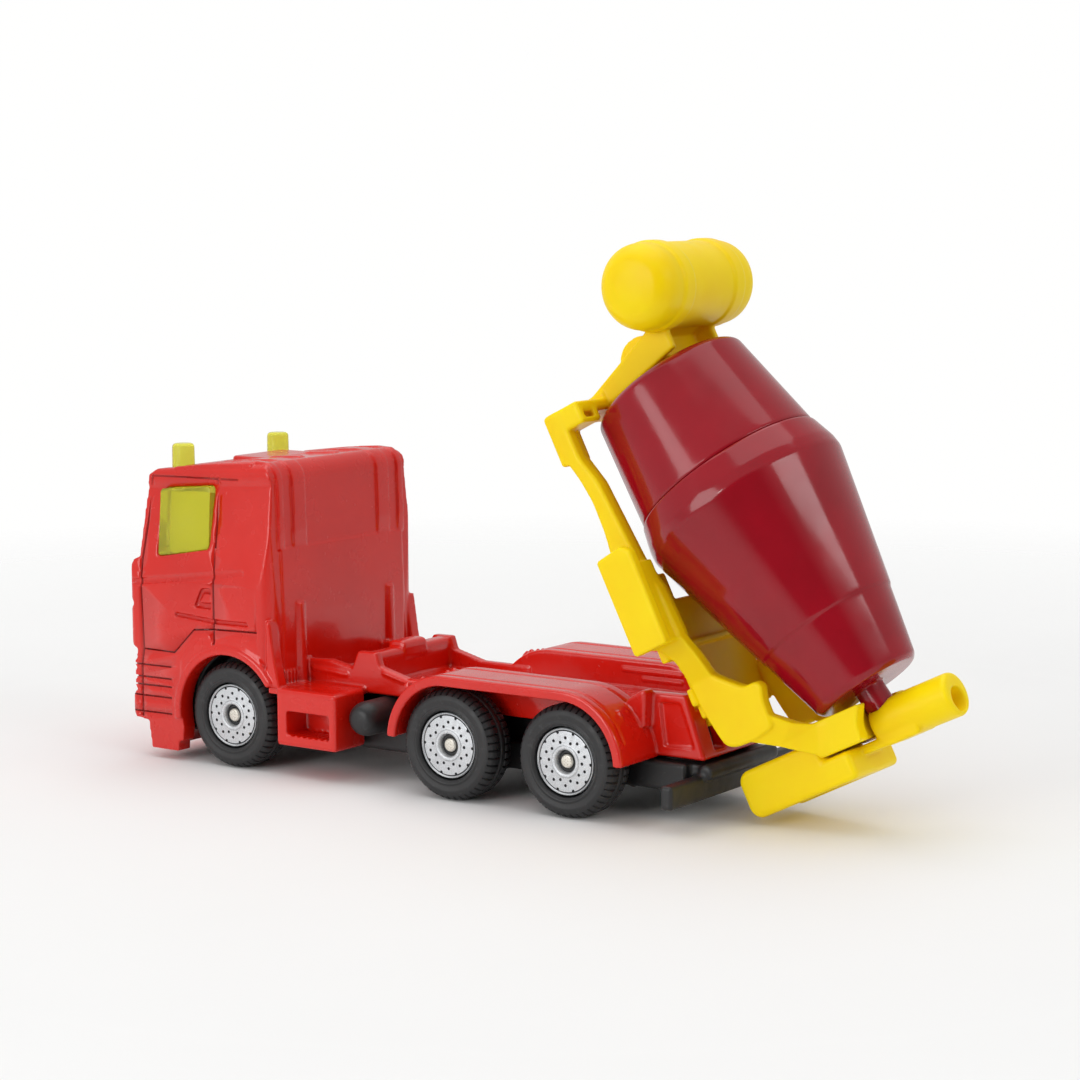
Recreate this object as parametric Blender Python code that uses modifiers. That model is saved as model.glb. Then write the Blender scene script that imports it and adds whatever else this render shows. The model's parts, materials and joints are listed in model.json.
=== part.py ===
"""Toy cement mixer: a die-cast lorry with a tipping, turning drum.

Millimetres in the truck frame: x runs rearwards from the rear axle, y to the
truck's right from its centre plane, z up from the ground. world() turns them
into metres, with the whole toy centred on the origin. The mixer is drawn as it
lies when lowered on the deck, and an empty on the hinge tips it back.
"""
import bpy
import bmesh
from math import cos, pi, radians, sin
from mathutils import Matrix, Vector

MM = 0.001
CENTRE_X = -9.835
GAP = 0.2

# Wheels and axles
TYRE_R = 5.75
TYRE_WIDTH = 4.0
DISC_R = 3.4
DISC_HOLE_R = 1.25
DISC_DEPTH = 0.8
AXLE_R = 0.74
AXLE_GAP = 0.08
WHEEL_FACE_Y = 12.45
AXLE_END_Y = 11.85
AXLE_X = {"front": -43.7, "middle": -14.5, "rear": 0.0}

# Cab and chassis casting
CAB_HALF = 12.75
CAB_FRONT_X = -57.5
CAB_BACK_X = -37.6
WALL = 1.3
ROOF_FRONT_Z = 31.4
ROOF_BACK_Z = 33.9
ROOF_TAPER = 0.028
TAPER_FROM_Z = 20.0
ARCH_R = 6.7
STEP_FRONT_X = -36.9
STEP_BACK_X = -28.8
STEP_LOW_Z = 3.4
PLATFORM_Z = 9.5
FENDER_HALF = 13.05
FENDER_R = 7.3
FENDER_THICK = 0.85
CHANNEL_HALF = 6.2
SILL_Z = 6.0
DECK_LOW_Z = 8.9
DECK_Z = 10.0
CROSS_TOP_Z = 13.35
BLOCK_HALF = 6.6
BEACON_X = -53.7
BEACON_Y = 8.0
BEACON_R = 1.15
BEACON_TOP_Z = 34.6

# Base plate
BASE_LOW_Z = 3.0
RIVET_X = (-33.0, -7.2)
RIVET_R = 1.7

# Tipping hinge
HINGE_X = 8.2
HINGE_Z = 9.3
HINGE_PIN_R = 0.75
TIP_DEG = 63.25
EAR_INNER = 2.5
EAR_OUTER = 3.8

# Mixer frame, lowered
RAIL_INNER = 8.7
RAIL_OUTER = 10.2
LUG_INNER = 5.8
LUG_OUTER = 7.3
BOX_OUTER = 12.95
REST_Z = 13.35
POST_HALF = 4.9
PYLON_HALF = 4.6
FLANGE = 0.8
TANK_X = -31.7
TANK_Z = 26.5
TANK_R = 4.3
TANK_BAND_R = 4.5
TANK_HALF = 9.2

# Drum: distances along its axis from the front end, with the radius there
DRUM_FRONT_X = -23.5
DRUM_FRONT_Z = 21.0
DRUM_SLOPE_DEG = 12.0
DRUM_FRONT_R = 8.3
SEAM_AT = 11.5
SEAM_R = 10.0
WIDEST_AT = 14.5
WIDEST_R = 10.85
DRUM_LENGTH = 36.8
MOUTH_R = 5.5
SHELL = 1.2
BOSS_R = 1.9
SHAFT_R = 1.5
BEARING_GAP = 0.12

# Chute and hopper, lowered
CHUTE_HALF = 4.4
CHUTE_FRONT_X = 15.3
CHUTE_BACK_X = 20.2
CHUTE_LOW_Z = 13.3
CHUTE_TOP_Z = 26.2
HOPPER_X = 16.2
HOPPER_R = 2.2
HOPPER_LOW_Z = 28.2
HOPPER_TOP_Z = 37.3

ROUND = 32


def world(x, y, z):
    return Vector(((x - CENTRE_X) * MM, y * MM, z * MM))


def clear_scene():
    for thing in list(bpy.data.objects):
        bpy.data.objects.remove(thing, do_unlink=True)


def new_collection(name):
    group = bpy.data.collections.new(name)
    bpy.context.scene.collection.children.link(group)
    return group


def paint(name, colour, rough, metal=0.0, alpha=1.0):
    look = bpy.data.materials.new(name)
    look.use_nodes = True
    shader = look.node_tree.nodes["Principled BSDF"]
    shader.inputs["Base Color"].default_value = (*colour, 1.0)
    shader.inputs["Roughness"].default_value = rough
    shader.inputs["Metallic"].default_value = metal
    shader.inputs["Alpha"].default_value = alpha
    return look


def add_mesh(name, bm, group):
    mesh = bpy.data.meshes.new(name)
    bm.normal_update()
    bmesh.ops.recalc_face_normals(bm, faces=bm.faces)
    if bm.calc_volume(signed=True) < 0:
        bmesh.ops.reverse_faces(bm, faces=bm.faces)
    bm.to_mesh(mesh)
    bm.free()
    thing = bpy.data.objects.new(name, mesh)
    group.objects.link(thing)
    return thing


def box(name, low, high, group, bevel=0.0):
    bm = bmesh.new()
    bmesh.ops.create_cube(bm, size=1.0)
    for vert in bm.verts:
        vert.co = Vector([a + (b - a) * (c + 0.5) for a, b, c in zip(low, high, vert.co)])
        vert.co = world(*vert.co)
    thing = add_mesh(name, bm, group)
    if bevel:
        soften(thing, bevel)
    return thing


def soften(thing, width, segments=2, angle=35.0):
    edge = thing.modifiers.new("rounded edges", "BEVEL")
    edge.width = width * MM
    edge.segments = segments
    edge.limit_method = "ANGLE"
    edge.angle_limit = radians(angle)


def rod(name, start, end, radius, group, sides=ROUND, end_radius=None):
    """A round bar between two points of the truck frame."""
    low, high = world(*start), world(*end)
    along = high - low
    bm = bmesh.new()
    turn = along.to_track_quat("Z", "Y").to_matrix().to_4x4()
    bmesh.ops.create_cone(
        bm, cap_ends=True, segments=sides, radius1=radius * MM,
        radius2=(radius if end_radius is None else end_radius) * MM,
        depth=along.length, matrix=Matrix.Translation((low + high) / 2) @ turn)
    return add_mesh(name, bm, group)


def arc(centre, radius, start_deg, end_deg, steps):
    """Points of an arc, counted from +x towards +z."""
    angles = [radians(start_deg + (end_deg - start_deg) * i / steps) for i in range(steps + 1)]
    return [(centre[0] + radius * cos(a), centre[1] + radius * sin(a)) for a in angles]


def curve_mesh(name, points, thickness, group):
    """A flat outline with fill and extrusion, turned into a welded mesh."""
    curve = bpy.data.curves.new(name, "CURVE")
    curve.dimensions = "2D"
    curve.fill_mode = "BOTH"
    curve.extrude = thickness * MM / 2
    line = curve.splines.new("POLY")
    line.points.add(len(points) - 1)
    for knot, (a, b) in zip(line.points, points):
        knot.co = (a * MM, b * MM, 0.0, 1.0)
    line.use_cyclic_u = True
    drawing = bpy.data.objects.new(name, curve)
    group.objects.link(drawing)
    bpy.context.view_layer.update()
    shape = drawing.evaluated_get(bpy.context.evaluated_depsgraph_get())
    mesh = bpy.data.meshes.new_from_object(shape)
    bpy.data.objects.remove(drawing, do_unlink=True)
    bm = bmesh.new()
    bm.from_mesh(mesh)
    bpy.data.meshes.remove(mesh)
    bmesh.ops.remove_doubles(bm, verts=bm.verts, dist=0.000001)
    bmesh.ops.dissolve_limit(bm, angle_limit=radians(0.5), verts=bm.verts, edges=bm.edges)
    return bm


def side_plate(name, points, y_low, y_high, group, bevel=0.0):
    """An x, z outline made solid between two y planes."""
    bm = curve_mesh(name, points, y_high - y_low, group)
    middle = (y_low + y_high) / 2
    for vert in bm.verts:
        x, z, y = vert.co
        vert.co = world(x / MM, middle + y / MM, z / MM)
    thing = add_mesh(name, bm, group)
    if bevel:
        soften(thing, bevel)
    return thing


def turned(name, profile, start, axis, group, sides=ROUND):
    """A closed profile of (radius, distance along the axis), swept by a Screw modifier."""
    bm = bmesh.new()
    verts = [bm.verts.new((r * MM, 0.0, -along * MM)) for r, along in profile]
    for a, b in zip(verts, verts[1:]):
        bm.edges.new((a, b))
    if min(profile[0][0], profile[-1][0]) > 0:
        bm.edges.new((verts[-1], verts[0]))
    thing = add_mesh(name, bm, group)
    sweep = thing.modifiers.new("turned", "SCREW")
    sweep.angle = 2 * pi
    sweep.steps = sides
    sweep.render_steps = sides
    sweep.use_merge_vertices = True
    sweep.merge_threshold = 0.000002
    sweep.use_normal_calculate = True
    bpy.context.view_layer.update()
    mesh = bpy.data.meshes.new_from_object(thing.evaluated_get(bpy.context.evaluated_depsgraph_get()))
    bpy.data.objects.remove(thing, do_unlink=True)
    bm = bmesh.new()
    bm.from_mesh(mesh)
    bpy.data.meshes.remove(mesh)
    bmesh.ops.remove_doubles(bm, verts=bm.verts, dist=0.000002)
    turn = Vector(axis).to_track_quat("Z", "Y").to_matrix().to_4x4()
    flip = Matrix.Rotation(pi, 4, "X")
    bmesh.ops.transform(bm, matrix=Matrix.Translation(world(*start)) @ turn @ flip, verts=bm.verts)
    return add_mesh(name, bm, group)


def combine(target, tool, operation):
    tool.hide_render = True
    tool.display_type = "WIRE"
    change = target.modifiers.new(tool.name, "BOOLEAN")
    change.operation = operation
    change.solver = "EXACT"
    change.object = tool


def join(target, *tools):
    for tool in tools:
        combine(target, tool, "UNION")


def cut(target, *tools):
    for tool in tools:
        combine(target, tool, "DIFFERENCE")


def settle(thing):
    """Keeps the modified shape as the sub-part's own mesh and drops its tools."""
    bpy.context.view_layer.update()
    shape = thing.evaluated_get(bpy.context.evaluated_depsgraph_get())
    mesh = bpy.data.meshes.new_from_object(shape)
    tools = [change.object for change in thing.modifiers if change.type == "BOOLEAN"]
    thing.modifiers.clear()
    thing.data = mesh
    for tool in tools:
        bpy.data.objects.remove(tool, do_unlink=True)


def finish(thing, look, origin, parent=None):
    """Gives a sub-part its material, its origin on the joint, and its parent."""
    settle(thing)
    thing.data.materials.clear()
    thing.data.materials.append(look)
    thing.data.transform(Matrix.Translation(-origin))
    thing.data.shade_smooth()
    thing.data.set_sharp_from_angle(angle=radians(35))
    thing.location = origin
    if parent:
        thing.parent = parent
        thing.location = origin - Vector(parent["home"])
    return thing


def joint_empty(name, home, group):
    empty = bpy.data.objects.new(name, None)
    empty.empty_display_size = 4 * MM
    empty.location = home
    empty["home"] = home
    group.objects.link(empty)
    return empty


# ---------------------------------------------------------------- the truck

def cab_outline(inset=0.0):
    """The cab from the side, from the bumper lip over the roof to the platform."""
    return [
        (-54.9 + inset, 1.5), (-57.3 + inset, 4.7), (CAB_FRONT_X + inset, 7.2),
        (-56.6 + inset, 12.2), (-57.4 + inset, 13.0), (CAB_FRONT_X + inset, 16.0),
        (-57.0 + inset, 21.2), (-56.3 + inset, 22.0),
        (-55.5 + inset, ROOF_FRONT_Z - inset), (-54.6 + inset, ROOF_FRONT_Z + 0.6 - inset),
        (-46.0, 32.9 - inset), (-41.0, ROOF_BACK_Z - 0.2 - inset),
        (-39.2 - inset, ROOF_BACK_Z - 0.3 - inset), (-38.4 - inset, ROOF_BACK_Z - 1.4 - inset),
        (CAB_BACK_X - inset, 17.0)]


def make_casting(group):
    front_arch = arc((AXLE_X["front"], TYRE_R), ARCH_R, 28, 196, 12)
    under = [(CAB_BACK_X, 8.7)] + front_arch + [(-51.3, 1.5)]
    casting = side_plate("body_casting", cab_outline() + under, -CAB_HALF, CAB_HALF, group, 0.55)
    for vert in casting.data.vertices:
        over = max(0.0, vert.co.z / MM - TAPER_FROM_Z) / (ROOF_BACK_Z - TAPER_FROM_Z)
        vert.co.y *= 1.0 - ROOF_TAPER * over

    inner = CAB_HALF - WALL
    hollow = [(x, z if z > 2 else -1.0) for x, z in cab_outline(WALL)]
    cut(casting, side_plate("cab_hollow", hollow + [(CAB_BACK_X - WALL, -1.0)],
                            -inner + 0.6, inner - 0.6, group))

    step_low = [(STEP_FRONT_X, STEP_LOW_Z), (STEP_BACK_X, STEP_LOW_Z),
                (STEP_BACK_X, PLATFORM_Z), (STEP_FRONT_X, PLATFORM_Z)]
    for side in (-1, 1):
        low, high = sorted((side * 7.6, side * CAB_HALF))
        join(casting, side_plate("step_box", step_low, low, high, group))
    join(casting, box("platform", (CAB_BACK_X - 0.7, -CAB_HALF + 0.4, PLATFORM_Z - 0.75),
                      (STEP_BACK_X - 0.4, CAB_HALF - 0.4, PLATFORM_Z + 0.05), group))

    join(casting, box("deck", (STEP_BACK_X - 9.5, -CHANNEL_HALF - 0.6, DECK_LOW_Z),
                      (6.0, CHANNEL_HALF + 0.6, DECK_Z), group))
    rail = [(CAB_BACK_X - 0.5, DECK_LOW_Z + 0.1), (CAB_BACK_X - 0.5, 11.85), (-31.0, 11.6),
            (-30.2, CROSS_TOP_Z - 0.05), (-27.75, CROSS_TOP_Z), (-27.25, 11.9), (-23.5, 11.0),
            (-17.0, 11.0), (-17.0, DECK_LOW_Z + 0.1)]
    for side in (-1, 1):
        low, high = sorted((side * (CHANNEL_HALF - 0.1), side * (CHANNEL_HALF + 0.95)))
        join(casting, side_plate("chassis_rail", rail, low, high, group))
    join(casting, box("cross_bar", (-30.0, -CHANNEL_HALF, DECK_LOW_Z + 0.2),
                      (-27.8, CHANNEL_HALF, CROSS_TOP_Z - 0.1), group))
    join(casting, box("cross_bar_rise", (-29.9, -2.0, 12.0), (-27.9, 2.0, CROSS_TOP_Z + 0.6), group))

    for side in (-1, 1):
        add_fender(casting, side, group)
    add_tail_block(casting, group)
    add_cab_openings(casting, group)
    return finish(casting, PAINT_RED, world(0, 0, 0))


def fender_band(radius, toe_deg):
    return (arc((AXLE_X["rear"], TYRE_R), radius, toe_deg, 90, 9)
            + arc((AXLE_X["middle"], TYRE_R), radius, 90, 180 - toe_deg, 9))


def add_fender(casting, side, group):
    """The guard over both rear wheels, its inner wall and the block at its tail."""
    outer = fender_band(FENDER_R, 2.5)
    inner = fender_band(FENDER_R - FENDER_THICK, 2.5)
    low, high = sorted((side * CHANNEL_HALF, side * FENDER_HALF))
    join(casting, side_plate("fender", outer + inner[::-1], low, high, group))
    low, high = sorted((side * CHANNEL_HALF, side * (CHANNEL_HALF + 1.1)))
    wall = fender_band(FENDER_R - 0.2, 24)
    join(casting, side_plate("fender_wall", wall + [(-20.0, DECK_LOW_Z - 0.4), (5.5, DECK_LOW_Z - 0.4)],
                             low, high, group))
    low, high = sorted((side * 6.4, side * 8.2))
    join(casting, side_plate("fender_horn", [(4.6, 10.0), (6.8, 9.2), (6.9, 13.05), (6.2, 12.95),
                                             (5.3, 12.3), (4.6, 11.8)], low, high, group))


def add_tail_block(casting, group):
    """The narrow box behind the wheels that carries the hinge."""
    profile = [(5.2, SILL_Z + 0.3), (12.85, SILL_Z + 0.3), (10.6, 12.7), (5.6, 12.6)]
    join(casting, side_plate("tail_block", profile, -BLOCK_HALF, BLOCK_HALF, group))
    pocket = [(4.0, 4.0), (11.9, 4.0), (9.2, 14.5), (4.0, 14.5)]
    cut(casting, side_plate("tail_pocket", pocket, -BLOCK_HALF + 1.1, BLOCK_HALF - 1.1, group))
    for side in (-1, 1):
        low, high = sorted((side * (EAR_INNER - 0.35), side * (EAR_OUTER + 0.35)))
        cut(casting, box("ear_notch", (6.4, low, 7.0), (16.0, high, 16.0), group))
    cut(casting, box("lid_notch", (9.0, -BLOCK_HALF + 1.1, 11.0), (14.0, BLOCK_HALF - 1.1, 16.0), group))
    bore = HINGE_PIN_R + AXLE_GAP
    cut(casting, rod("hinge_bore", (HINGE_X, -BLOCK_HALF + 0.5, HINGE_Z),
                     (HINGE_X, BLOCK_HALF - 0.5, HINGE_Z), bore, group, 20))


def add_cab_openings(casting, group):
    side_window = [(-53.2, 29.9), (-45.9, 30.7), (-46.3, 24.0), (-53.9, 22.6)]
    cut(casting, side_plate("side_window", side_window, -14, 14, group))
    cut(casting, box("windscreen", (-58.5, -10.3, 22.8), (-52.0, 10.3, 30.2), group))
    for side in (-1, 1):
        spot = (BEACON_X, side * BEACON_Y)
        cut(casting, rod("beacon_hole", (*spot, 28.0), (*spot, 36.0), BEACON_R + GAP, group, 20))
        low, high = sorted((side * 9.4, side * 14.0))
        cut(casting, box("step_opening", (-35.5, low, 4.5), (-29.7, high, 7.2), group))
        low, high = sorted((side * 8.1, side * 13.5))
        cut(casting, rod("front_wheel_well", (AXLE_X["front"], low, TYRE_R),
                         (AXLE_X["front"], high, TYRE_R), ARCH_R - 0.05, group, 28))


def make_window_insert(group):
    """One clear moulding: three panes, a roof sheet and the two beacons."""
    side = CAB_HALF - WALL - 0.9
    roof = 30.6
    shell = side_plate("window_insert", [(-54.3, 20.5), (-53.0, roof - 0.7), (-44.0, roof), (-44.0, 20.5)],
                       -side, side, group)
    cut(shell, side_plate("insert_hollow", [(-53.4, 19.0), (-52.2, roof - 1.6), (-43.0, roof - 1.0),
                                            (-43.0, 19.0)], -side + 0.9, side - 0.9, group))
    pane = [(-52.9, 29.6), (-46.2, 30.35), (-46.6, 24.3), (-53.55, 23.0)]
    for sign in (-1, 1):
        low, high = sorted((sign * (side - 0.5), sign * (CAB_HALF - 0.75)))
        join(shell, side_plate("side_pane", pane, low, high, group))
        spot = (BEACON_X, sign * BEACON_Y)
        join(shell, rod("beacon", (*spot, roof - 1.4), (*spot, BEACON_TOP_Z), BEACON_R, group, 20,
                        BEACON_R * 0.9))
    screen = [(-55.55, 23.1), (-54.95, 29.9), (-52.6, 29.9), (-53.2, 23.1)]
    join(shell, side_plate("front_pane", screen, -10.0, 10.0, group))
    return finish(shell, CLEAR_YELLOW, world(BEACON_X, 0, roof))


def make_base_plate(group):
    """The black underside, with the axle bearings, air tank and underrun bar."""
    low = BASE_LOW_Z
    base = box("base_plate", (-54.2, -7.4, low), (STEP_BACK_X - 8.9, 7.4, 8.2), group)
    join(base, box("cab_floor", (-53.6, -10.4, 3.1), (-39.2, 10.4, 13.0), group))
    cut(base, rod("floor_arch", (AXLE_X["front"], -14, TYRE_R), (AXLE_X["front"], -8.0, TYRE_R),
                  ARCH_R, group, 24))
    cut(base, rod("floor_arch", (AXLE_X["front"], 8.0, TYRE_R), (AXLE_X["front"], 14, TYRE_R),
                  ARCH_R, group, 24))
    join(base, box("spine", (STEP_BACK_X - 9.5, -7.2, low), (11.0, 7.2, 5.9), group))
    join(base, box("spine_rise", (STEP_BACK_X - 9.2, -5.0, 5.0), (5.0, 5.0, DECK_LOW_Z - GAP), group))
    join(base, rod("air_tank", (-26.4, -12.0, 7.0), (-26.4, 12.0, 7.0), 1.85, group, 20))
    join(base, box("tail_tray", (5.8, -5.2, 4.6), (10.9, 5.2, 7.4), group))
    join(base, box("tail_ledge", (10.0, -6.6, 4.3), (13.6, 6.6, 5.95), group, 0.3))
    join(base, box("bar_bracket", (9.5, -3.2, 3.2), (12.2, 3.2, 5.2), group))
    join(base, box("underrun_bar", (11.5, -12.6, 2.4), (12.8, 12.6, 4.8), group, 0.2))
    for place, x in AXLE_X.items():
        cut(base, rod(place + "_bearing", (x, -14, TYRE_R), (x, 14, TYRE_R), AXLE_R + 0.1, group, 20))
        cut(base, box(place + "_slot", (x - AXLE_R * 0.7, -14, 1.0), (x + AXLE_R * 0.7, 14, TYRE_R), group))
    for x in RIVET_X:
        cut(base, rod("rivet_seat", (x, 0, 1.0), (x, 0, 4.4), RIVET_R + GAP, group, 20))
    return finish(base, BLACK_PLASTIC, world(0, 0, low))


def make_rivet(name, x, group):
    rivet = turned(name, [(0, 0), (RIVET_R * 0.8, 0), (RIVET_R, 0.35), (RIVET_R, 1.2), (0, 1.2)],
                   (x, 0, BASE_LOW_Z - 0.1), (0, 0, 1), group, 24)
    return finish(rivet, STEEL, world(x, 0, BASE_LOW_Z))


def wheel_profile():
    """Tyre and web in one black moulding: (radius, depth from the outer face)."""
    bore = AXLE_R + AXLE_GAP
    return [(bore, 0.9), (DISC_HOLE_R - 0.1, 0.9), (DISC_HOLE_R - 0.1, 1.45), (DISC_R + 0.2, 1.45),
            (DISC_R + 0.2, 0.25), (DISC_R + 0.6, 0.0), (4.9, 0.05), (5.45, 0.35), (TYRE_R, 0.95),
            (TYRE_R, TYRE_WIDTH - 0.7), (5.4, TYRE_WIDTH), (bore, TYRE_WIDTH)]


def disc_profile():
    return [(DISC_HOLE_R, 0.0), (1.6, 0.0), (1.75, 0.15), (DISC_R - 0.35, 0.15),
            (DISC_R, 0.0), (DISC_R, DISC_DEPTH), (DISC_HOLE_R, DISC_DEPTH)]


def make_axle_set(place, group):
    """An axle, two tyres and two discs, which turn together."""
    x = AXLE_X[place]
    centre = world(x, 0, TYRE_R)
    spin = joint_empty(place + "_axle_joint", centre, group)
    axle = rod(place + "_axle", (x, -AXLE_END_Y, TYRE_R), (x, AXLE_END_Y, TYRE_R), AXLE_R, group, 20)
    finish(axle, STEEL, centre, spin)
    for side, word in ((-1, "left"), (1, "right")):
        inward = (0, -side, 0)
        tyre = turned(place + "_" + word + "_tyre", wheel_profile(),
                      (x, side * WHEEL_FACE_Y, TYRE_R), inward, group, 28)
        finish(tyre, BLACK_TYRE, centre, spin)
        disc = turned(place + "_" + word + "_disc", disc_profile(),
                      (x, side * (WHEEL_FACE_Y - 0.35), TYRE_R), inward, group, 24)
        finish(disc, SILVER, centre, spin)


# ---------------------------------------------------------------- the mixer

def rail_outline():
    """One side of the frame from its foot to the end of the locker, seen from the side."""
    return [
        (-24.3, 12.05), (-18.7, 12.15), (-18.6, 12.75), (-17.0, 13.4), (-14.4, 13.8),
        (-11.0, 13.7), (-8.6, REST_Z), (1.4, REST_Z), (1.4, 17.4), (-4.0, 17.2), (-7.5, 16.2),
        (-16.0, 15.4), (-19.0, 14.4), (-24.3, 14.4)]


def ledge_outline():
    """The thicker inner edge of the rail, a little lower than the rail."""
    return [
        (-24.0, 12.3), (-18.8, 12.3), (-17.2, 13.6), (-14.4, 14.0), (-11.0, 13.9), (-8.6, 13.6),
        (1.2, 13.6), (1.2, 17.1), (-4.0, 16.9), (-7.5, 15.9), (-16.0, 15.1), (-19.0, 14.2), (-24.0, 14.2)]


def lug_outline():
    """The plate beside the hinge, with a peak at its top."""
    return [
        (5.0, 14.3), (7.8, 14.4), (10.8, 15.0), (12.4, 15.4), (13.0, 16.4), (13.1, 19.0), (12.6, 21.3),
        (9.9, 21.4), (8.5, 21.9), (7.9, 21.4), (7.9, 19.9), (6.2, 17.8), (5.0, 16.6)]


def make_mixer_frame(group, tilt):
    frame = side_plate("mixer_frame", rail_outline(), -RAIL_OUTER, -RAIL_INNER, group)
    join(frame, side_plate("right_rail", rail_outline(), RAIL_INNER, RAIL_OUTER, group))
    join(frame, box("front_beam", (-24.25, -RAIL_OUTER + 0.05, 12.1), (-23.1, RAIL_OUTER - 0.05, 16.6), group))
    join(frame, box("floor", (-3.2, -RAIL_INNER - 0.4, REST_Z + 0.1), (2.8, RAIL_INNER + 0.4, 14.4), group))
    join(frame, box("hinge_floor", (2.7, -6.2, REST_Z + 0.12), (9.1, 6.2, 14.38), group))
    join(frame, box("floor_wings", (5.9, -7.0, REST_Z + 0.14), (7.7, 7.0, 14.36), group))
    for side in (-1, 1):
        low, high = sorted((side * 6.8, side * (RAIL_OUTER - 0.2)))
        join(frame, box("corner_foot", (-24.1, low, 12.2), (-18.9, high, 13.6), group))
        low, high = sorted((side * 3.6, side * (RAIL_INNER + 0.3)))
        join(frame, box("floor_front", (-6.0, low, REST_Z + 0.13), (-3.1, high, 14.37), group))
        low, high = sorted((side * 7.9, side * (RAIL_INNER + 0.2)))
        join(frame, side_plate("rail_ledge", ledge_outline(), low, high, group))
        low, high = sorted((side * (RAIL_OUTER - 0.4), side * BOX_OUTER))
        box_side = [(-8.55, REST_Z), (1.45, REST_Z), (1.45, 17.4), (-8.2, 17.5), (-8.9, 16.6)]
        join(frame, side_plate("side_box", box_side, low, high, group, 0.3))
        low, high = sorted((side * LUG_INNER, side * LUG_OUTER))
        join(frame, side_plate("lug", lug_outline(), low, high, group))
        add_ear(frame, side, group)
        add_neck(frame, side, group)
        add_arm(frame, side, group)
    add_pylon(frame, group)
    add_rear_bearing(frame, group)
    return finish(frame, YELLOW, HOME, tilt)


def bent_bar(name, sections, side, group):
    """A bar through sections given as outer y, inner y, top (x, z) and bottom (x, z)."""
    bm = bmesh.new()
    rings = []
    for outer, inner, top, bottom in sections:
        corners = ((top, outer), (top, inner), (bottom, inner), (bottom, outer))
        rings.append([bm.verts.new(world(x, side * y, z)) for (x, z), y in corners])
    bm.faces.new(rings[0])
    bm.faces.new(rings[-1][::-1])
    for near, far in zip(rings, rings[1:]):
        for i in range(4):
            k = (i + 1) % 4
            bm.faces.new((near[i], far[i], far[k]))
            bm.faces.new((near[i], far[k], near[k]))
    return add_mesh(name, bm, group)


def add_neck(frame, side, group):
    """The bend that brings the rail in from the locker to the lug."""
    sections = [(10.15, 8.75, (0.9, 17.3), (0.9, 13.95)), (8.9, 7.4, (3.1, 17.35), (3.1, 14.8)),
                (7.25, 5.85, (5.7, 17.1), (5.7, 14.4))]
    join(frame, bent_bar("neck", sections, side, group))


def add_ear(frame, side, group):
    low, high = sorted((side * EAR_INNER, side * EAR_OUTER))
    ear = arc((HINGE_X, HINGE_Z), 1.55, 180, 360, 10)
    join(frame, side_plate("hinge_ear", ear + [(HINGE_X + 1.55, 14.0), (HINGE_X - 1.55, 14.0)],
                           low, high, group))
    cut(frame, rod("ear_bore", (HINGE_X, side * 1.5, HINGE_Z), (HINGE_X, side * 5.0, HINGE_Z),
                   HINGE_PIN_R + BEARING_GAP, group, 20))


def add_arm(frame, side, group):
    """The bent arm from the lug up and in to the rear bearing."""
    sections = [(7.25, 5.85, (11.2, 21.1), (12.8, 17.8)), (6.3, 4.85, (13.0, 22.9), (14.6, 20.6)),
                (5.05, 4.75, (14.0, 24.6), (16.9, 23.6)), (4.85, 4.0, (14.5, 26.5), (17.0, 25.0))]
    join(frame, bent_bar("arm", sections, side, group))


def add_pylon(frame, group):
    """The leaning plate that carries the drum's front and the water tank."""
    foot, head = (-24.9, 14.6), (-29.0, 26.0)
    lean = (head[0] - foot[0]) / (head[1] - foot[1])
    web = [foot, (foot[0] + 0.9, foot[1]), (head[0] + 0.9, head[1]), head]
    join(frame, side_plate("pylon_web", web, -PYLON_HALF, PYLON_HALF, group))
    toe = [(-24.95, 14.5), (-24.95, 16.5), (-23.2, 16.4), (-23.2, 14.0), (-24.1, 13.9)]
    join(frame, side_plate("pylon_toe", toe, -PYLON_HALF - 0.2, PYLON_HALF + 0.2, group))
    flange = [(foot[0] + 0.5 + lean * 1.5, foot[1] + 1.5), (-23.25, foot[1] + 1.5),
              (-25.35, head[1] - 0.1), (head[0] + 0.5, head[1] - 0.1)]
    rib = [(-27.5, 23.0), (-25.2, 23.0), (-25.3, 23.7), (-27.7, 23.7)]
    join(frame, side_plate("pylon_rib", rib, -PYLON_HALF + 0.5, PYLON_HALF - 0.5, group))
    for side in (-1, 1):
        low, high = sorted((side * (PYLON_HALF - FLANGE), side * (PYLON_HALF - 0.02)))
        join(frame, side_plate("pylon_flange", flange, low, high, group))
    profile = [(0, 0), (2.6, 0.15), (TANK_R - 0.8, 0.55), (TANK_R - 0.15, 1.1), (TANK_R, 1.7),
               (TANK_R, 3.4), (TANK_BAND_R, 3.6), (TANK_BAND_R, 5.4), (TANK_R, 5.6)]
    length = 2 * TANK_HALF
    whole = profile + [(r, length - y) for r, y in profile[::-1]]
    join(frame, turned("tank", whole, (TANK_X, -TANK_HALF, TANK_Z), (0, 1, 0), group))
    bore = BOSS_R + BEARING_GAP
    cut(frame, rod("boss_bore", drum_point(-6.5), drum_point(-1.0), bore, group, 24))


def add_rear_bearing(frame, group):
    """The block behind the drum's mouth, with a seat for its shaft."""
    cheek = [(13.7, 23.4), (17.15, 23.4), (17.15, 28.4), (13.75, 29.6)]
    for side in (-1, 1):
        low, high = sorted((side * (POST_HALF - 1.6), side * POST_HALF))
        join(frame, side_plate("bearing_cheek", cheek, low, high, group))
    web = [(14.6, 23.5), (17.1, 23.5), (17.1, 27.75), (13.9, 27.75), (13.9, 26.6), (14.6, 26.3)]
    join(frame, side_plate("bearing_web", web, -POST_HALF + 0.8, POST_HALF - 0.8, group))
    cut(frame, rod("shaft_seat", drum_point(DRUM_LENGTH - 0.5), drum_point(DRUM_LENGTH + 5.5),
                   SHAFT_R + BEARING_GAP, group, 24))


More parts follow.
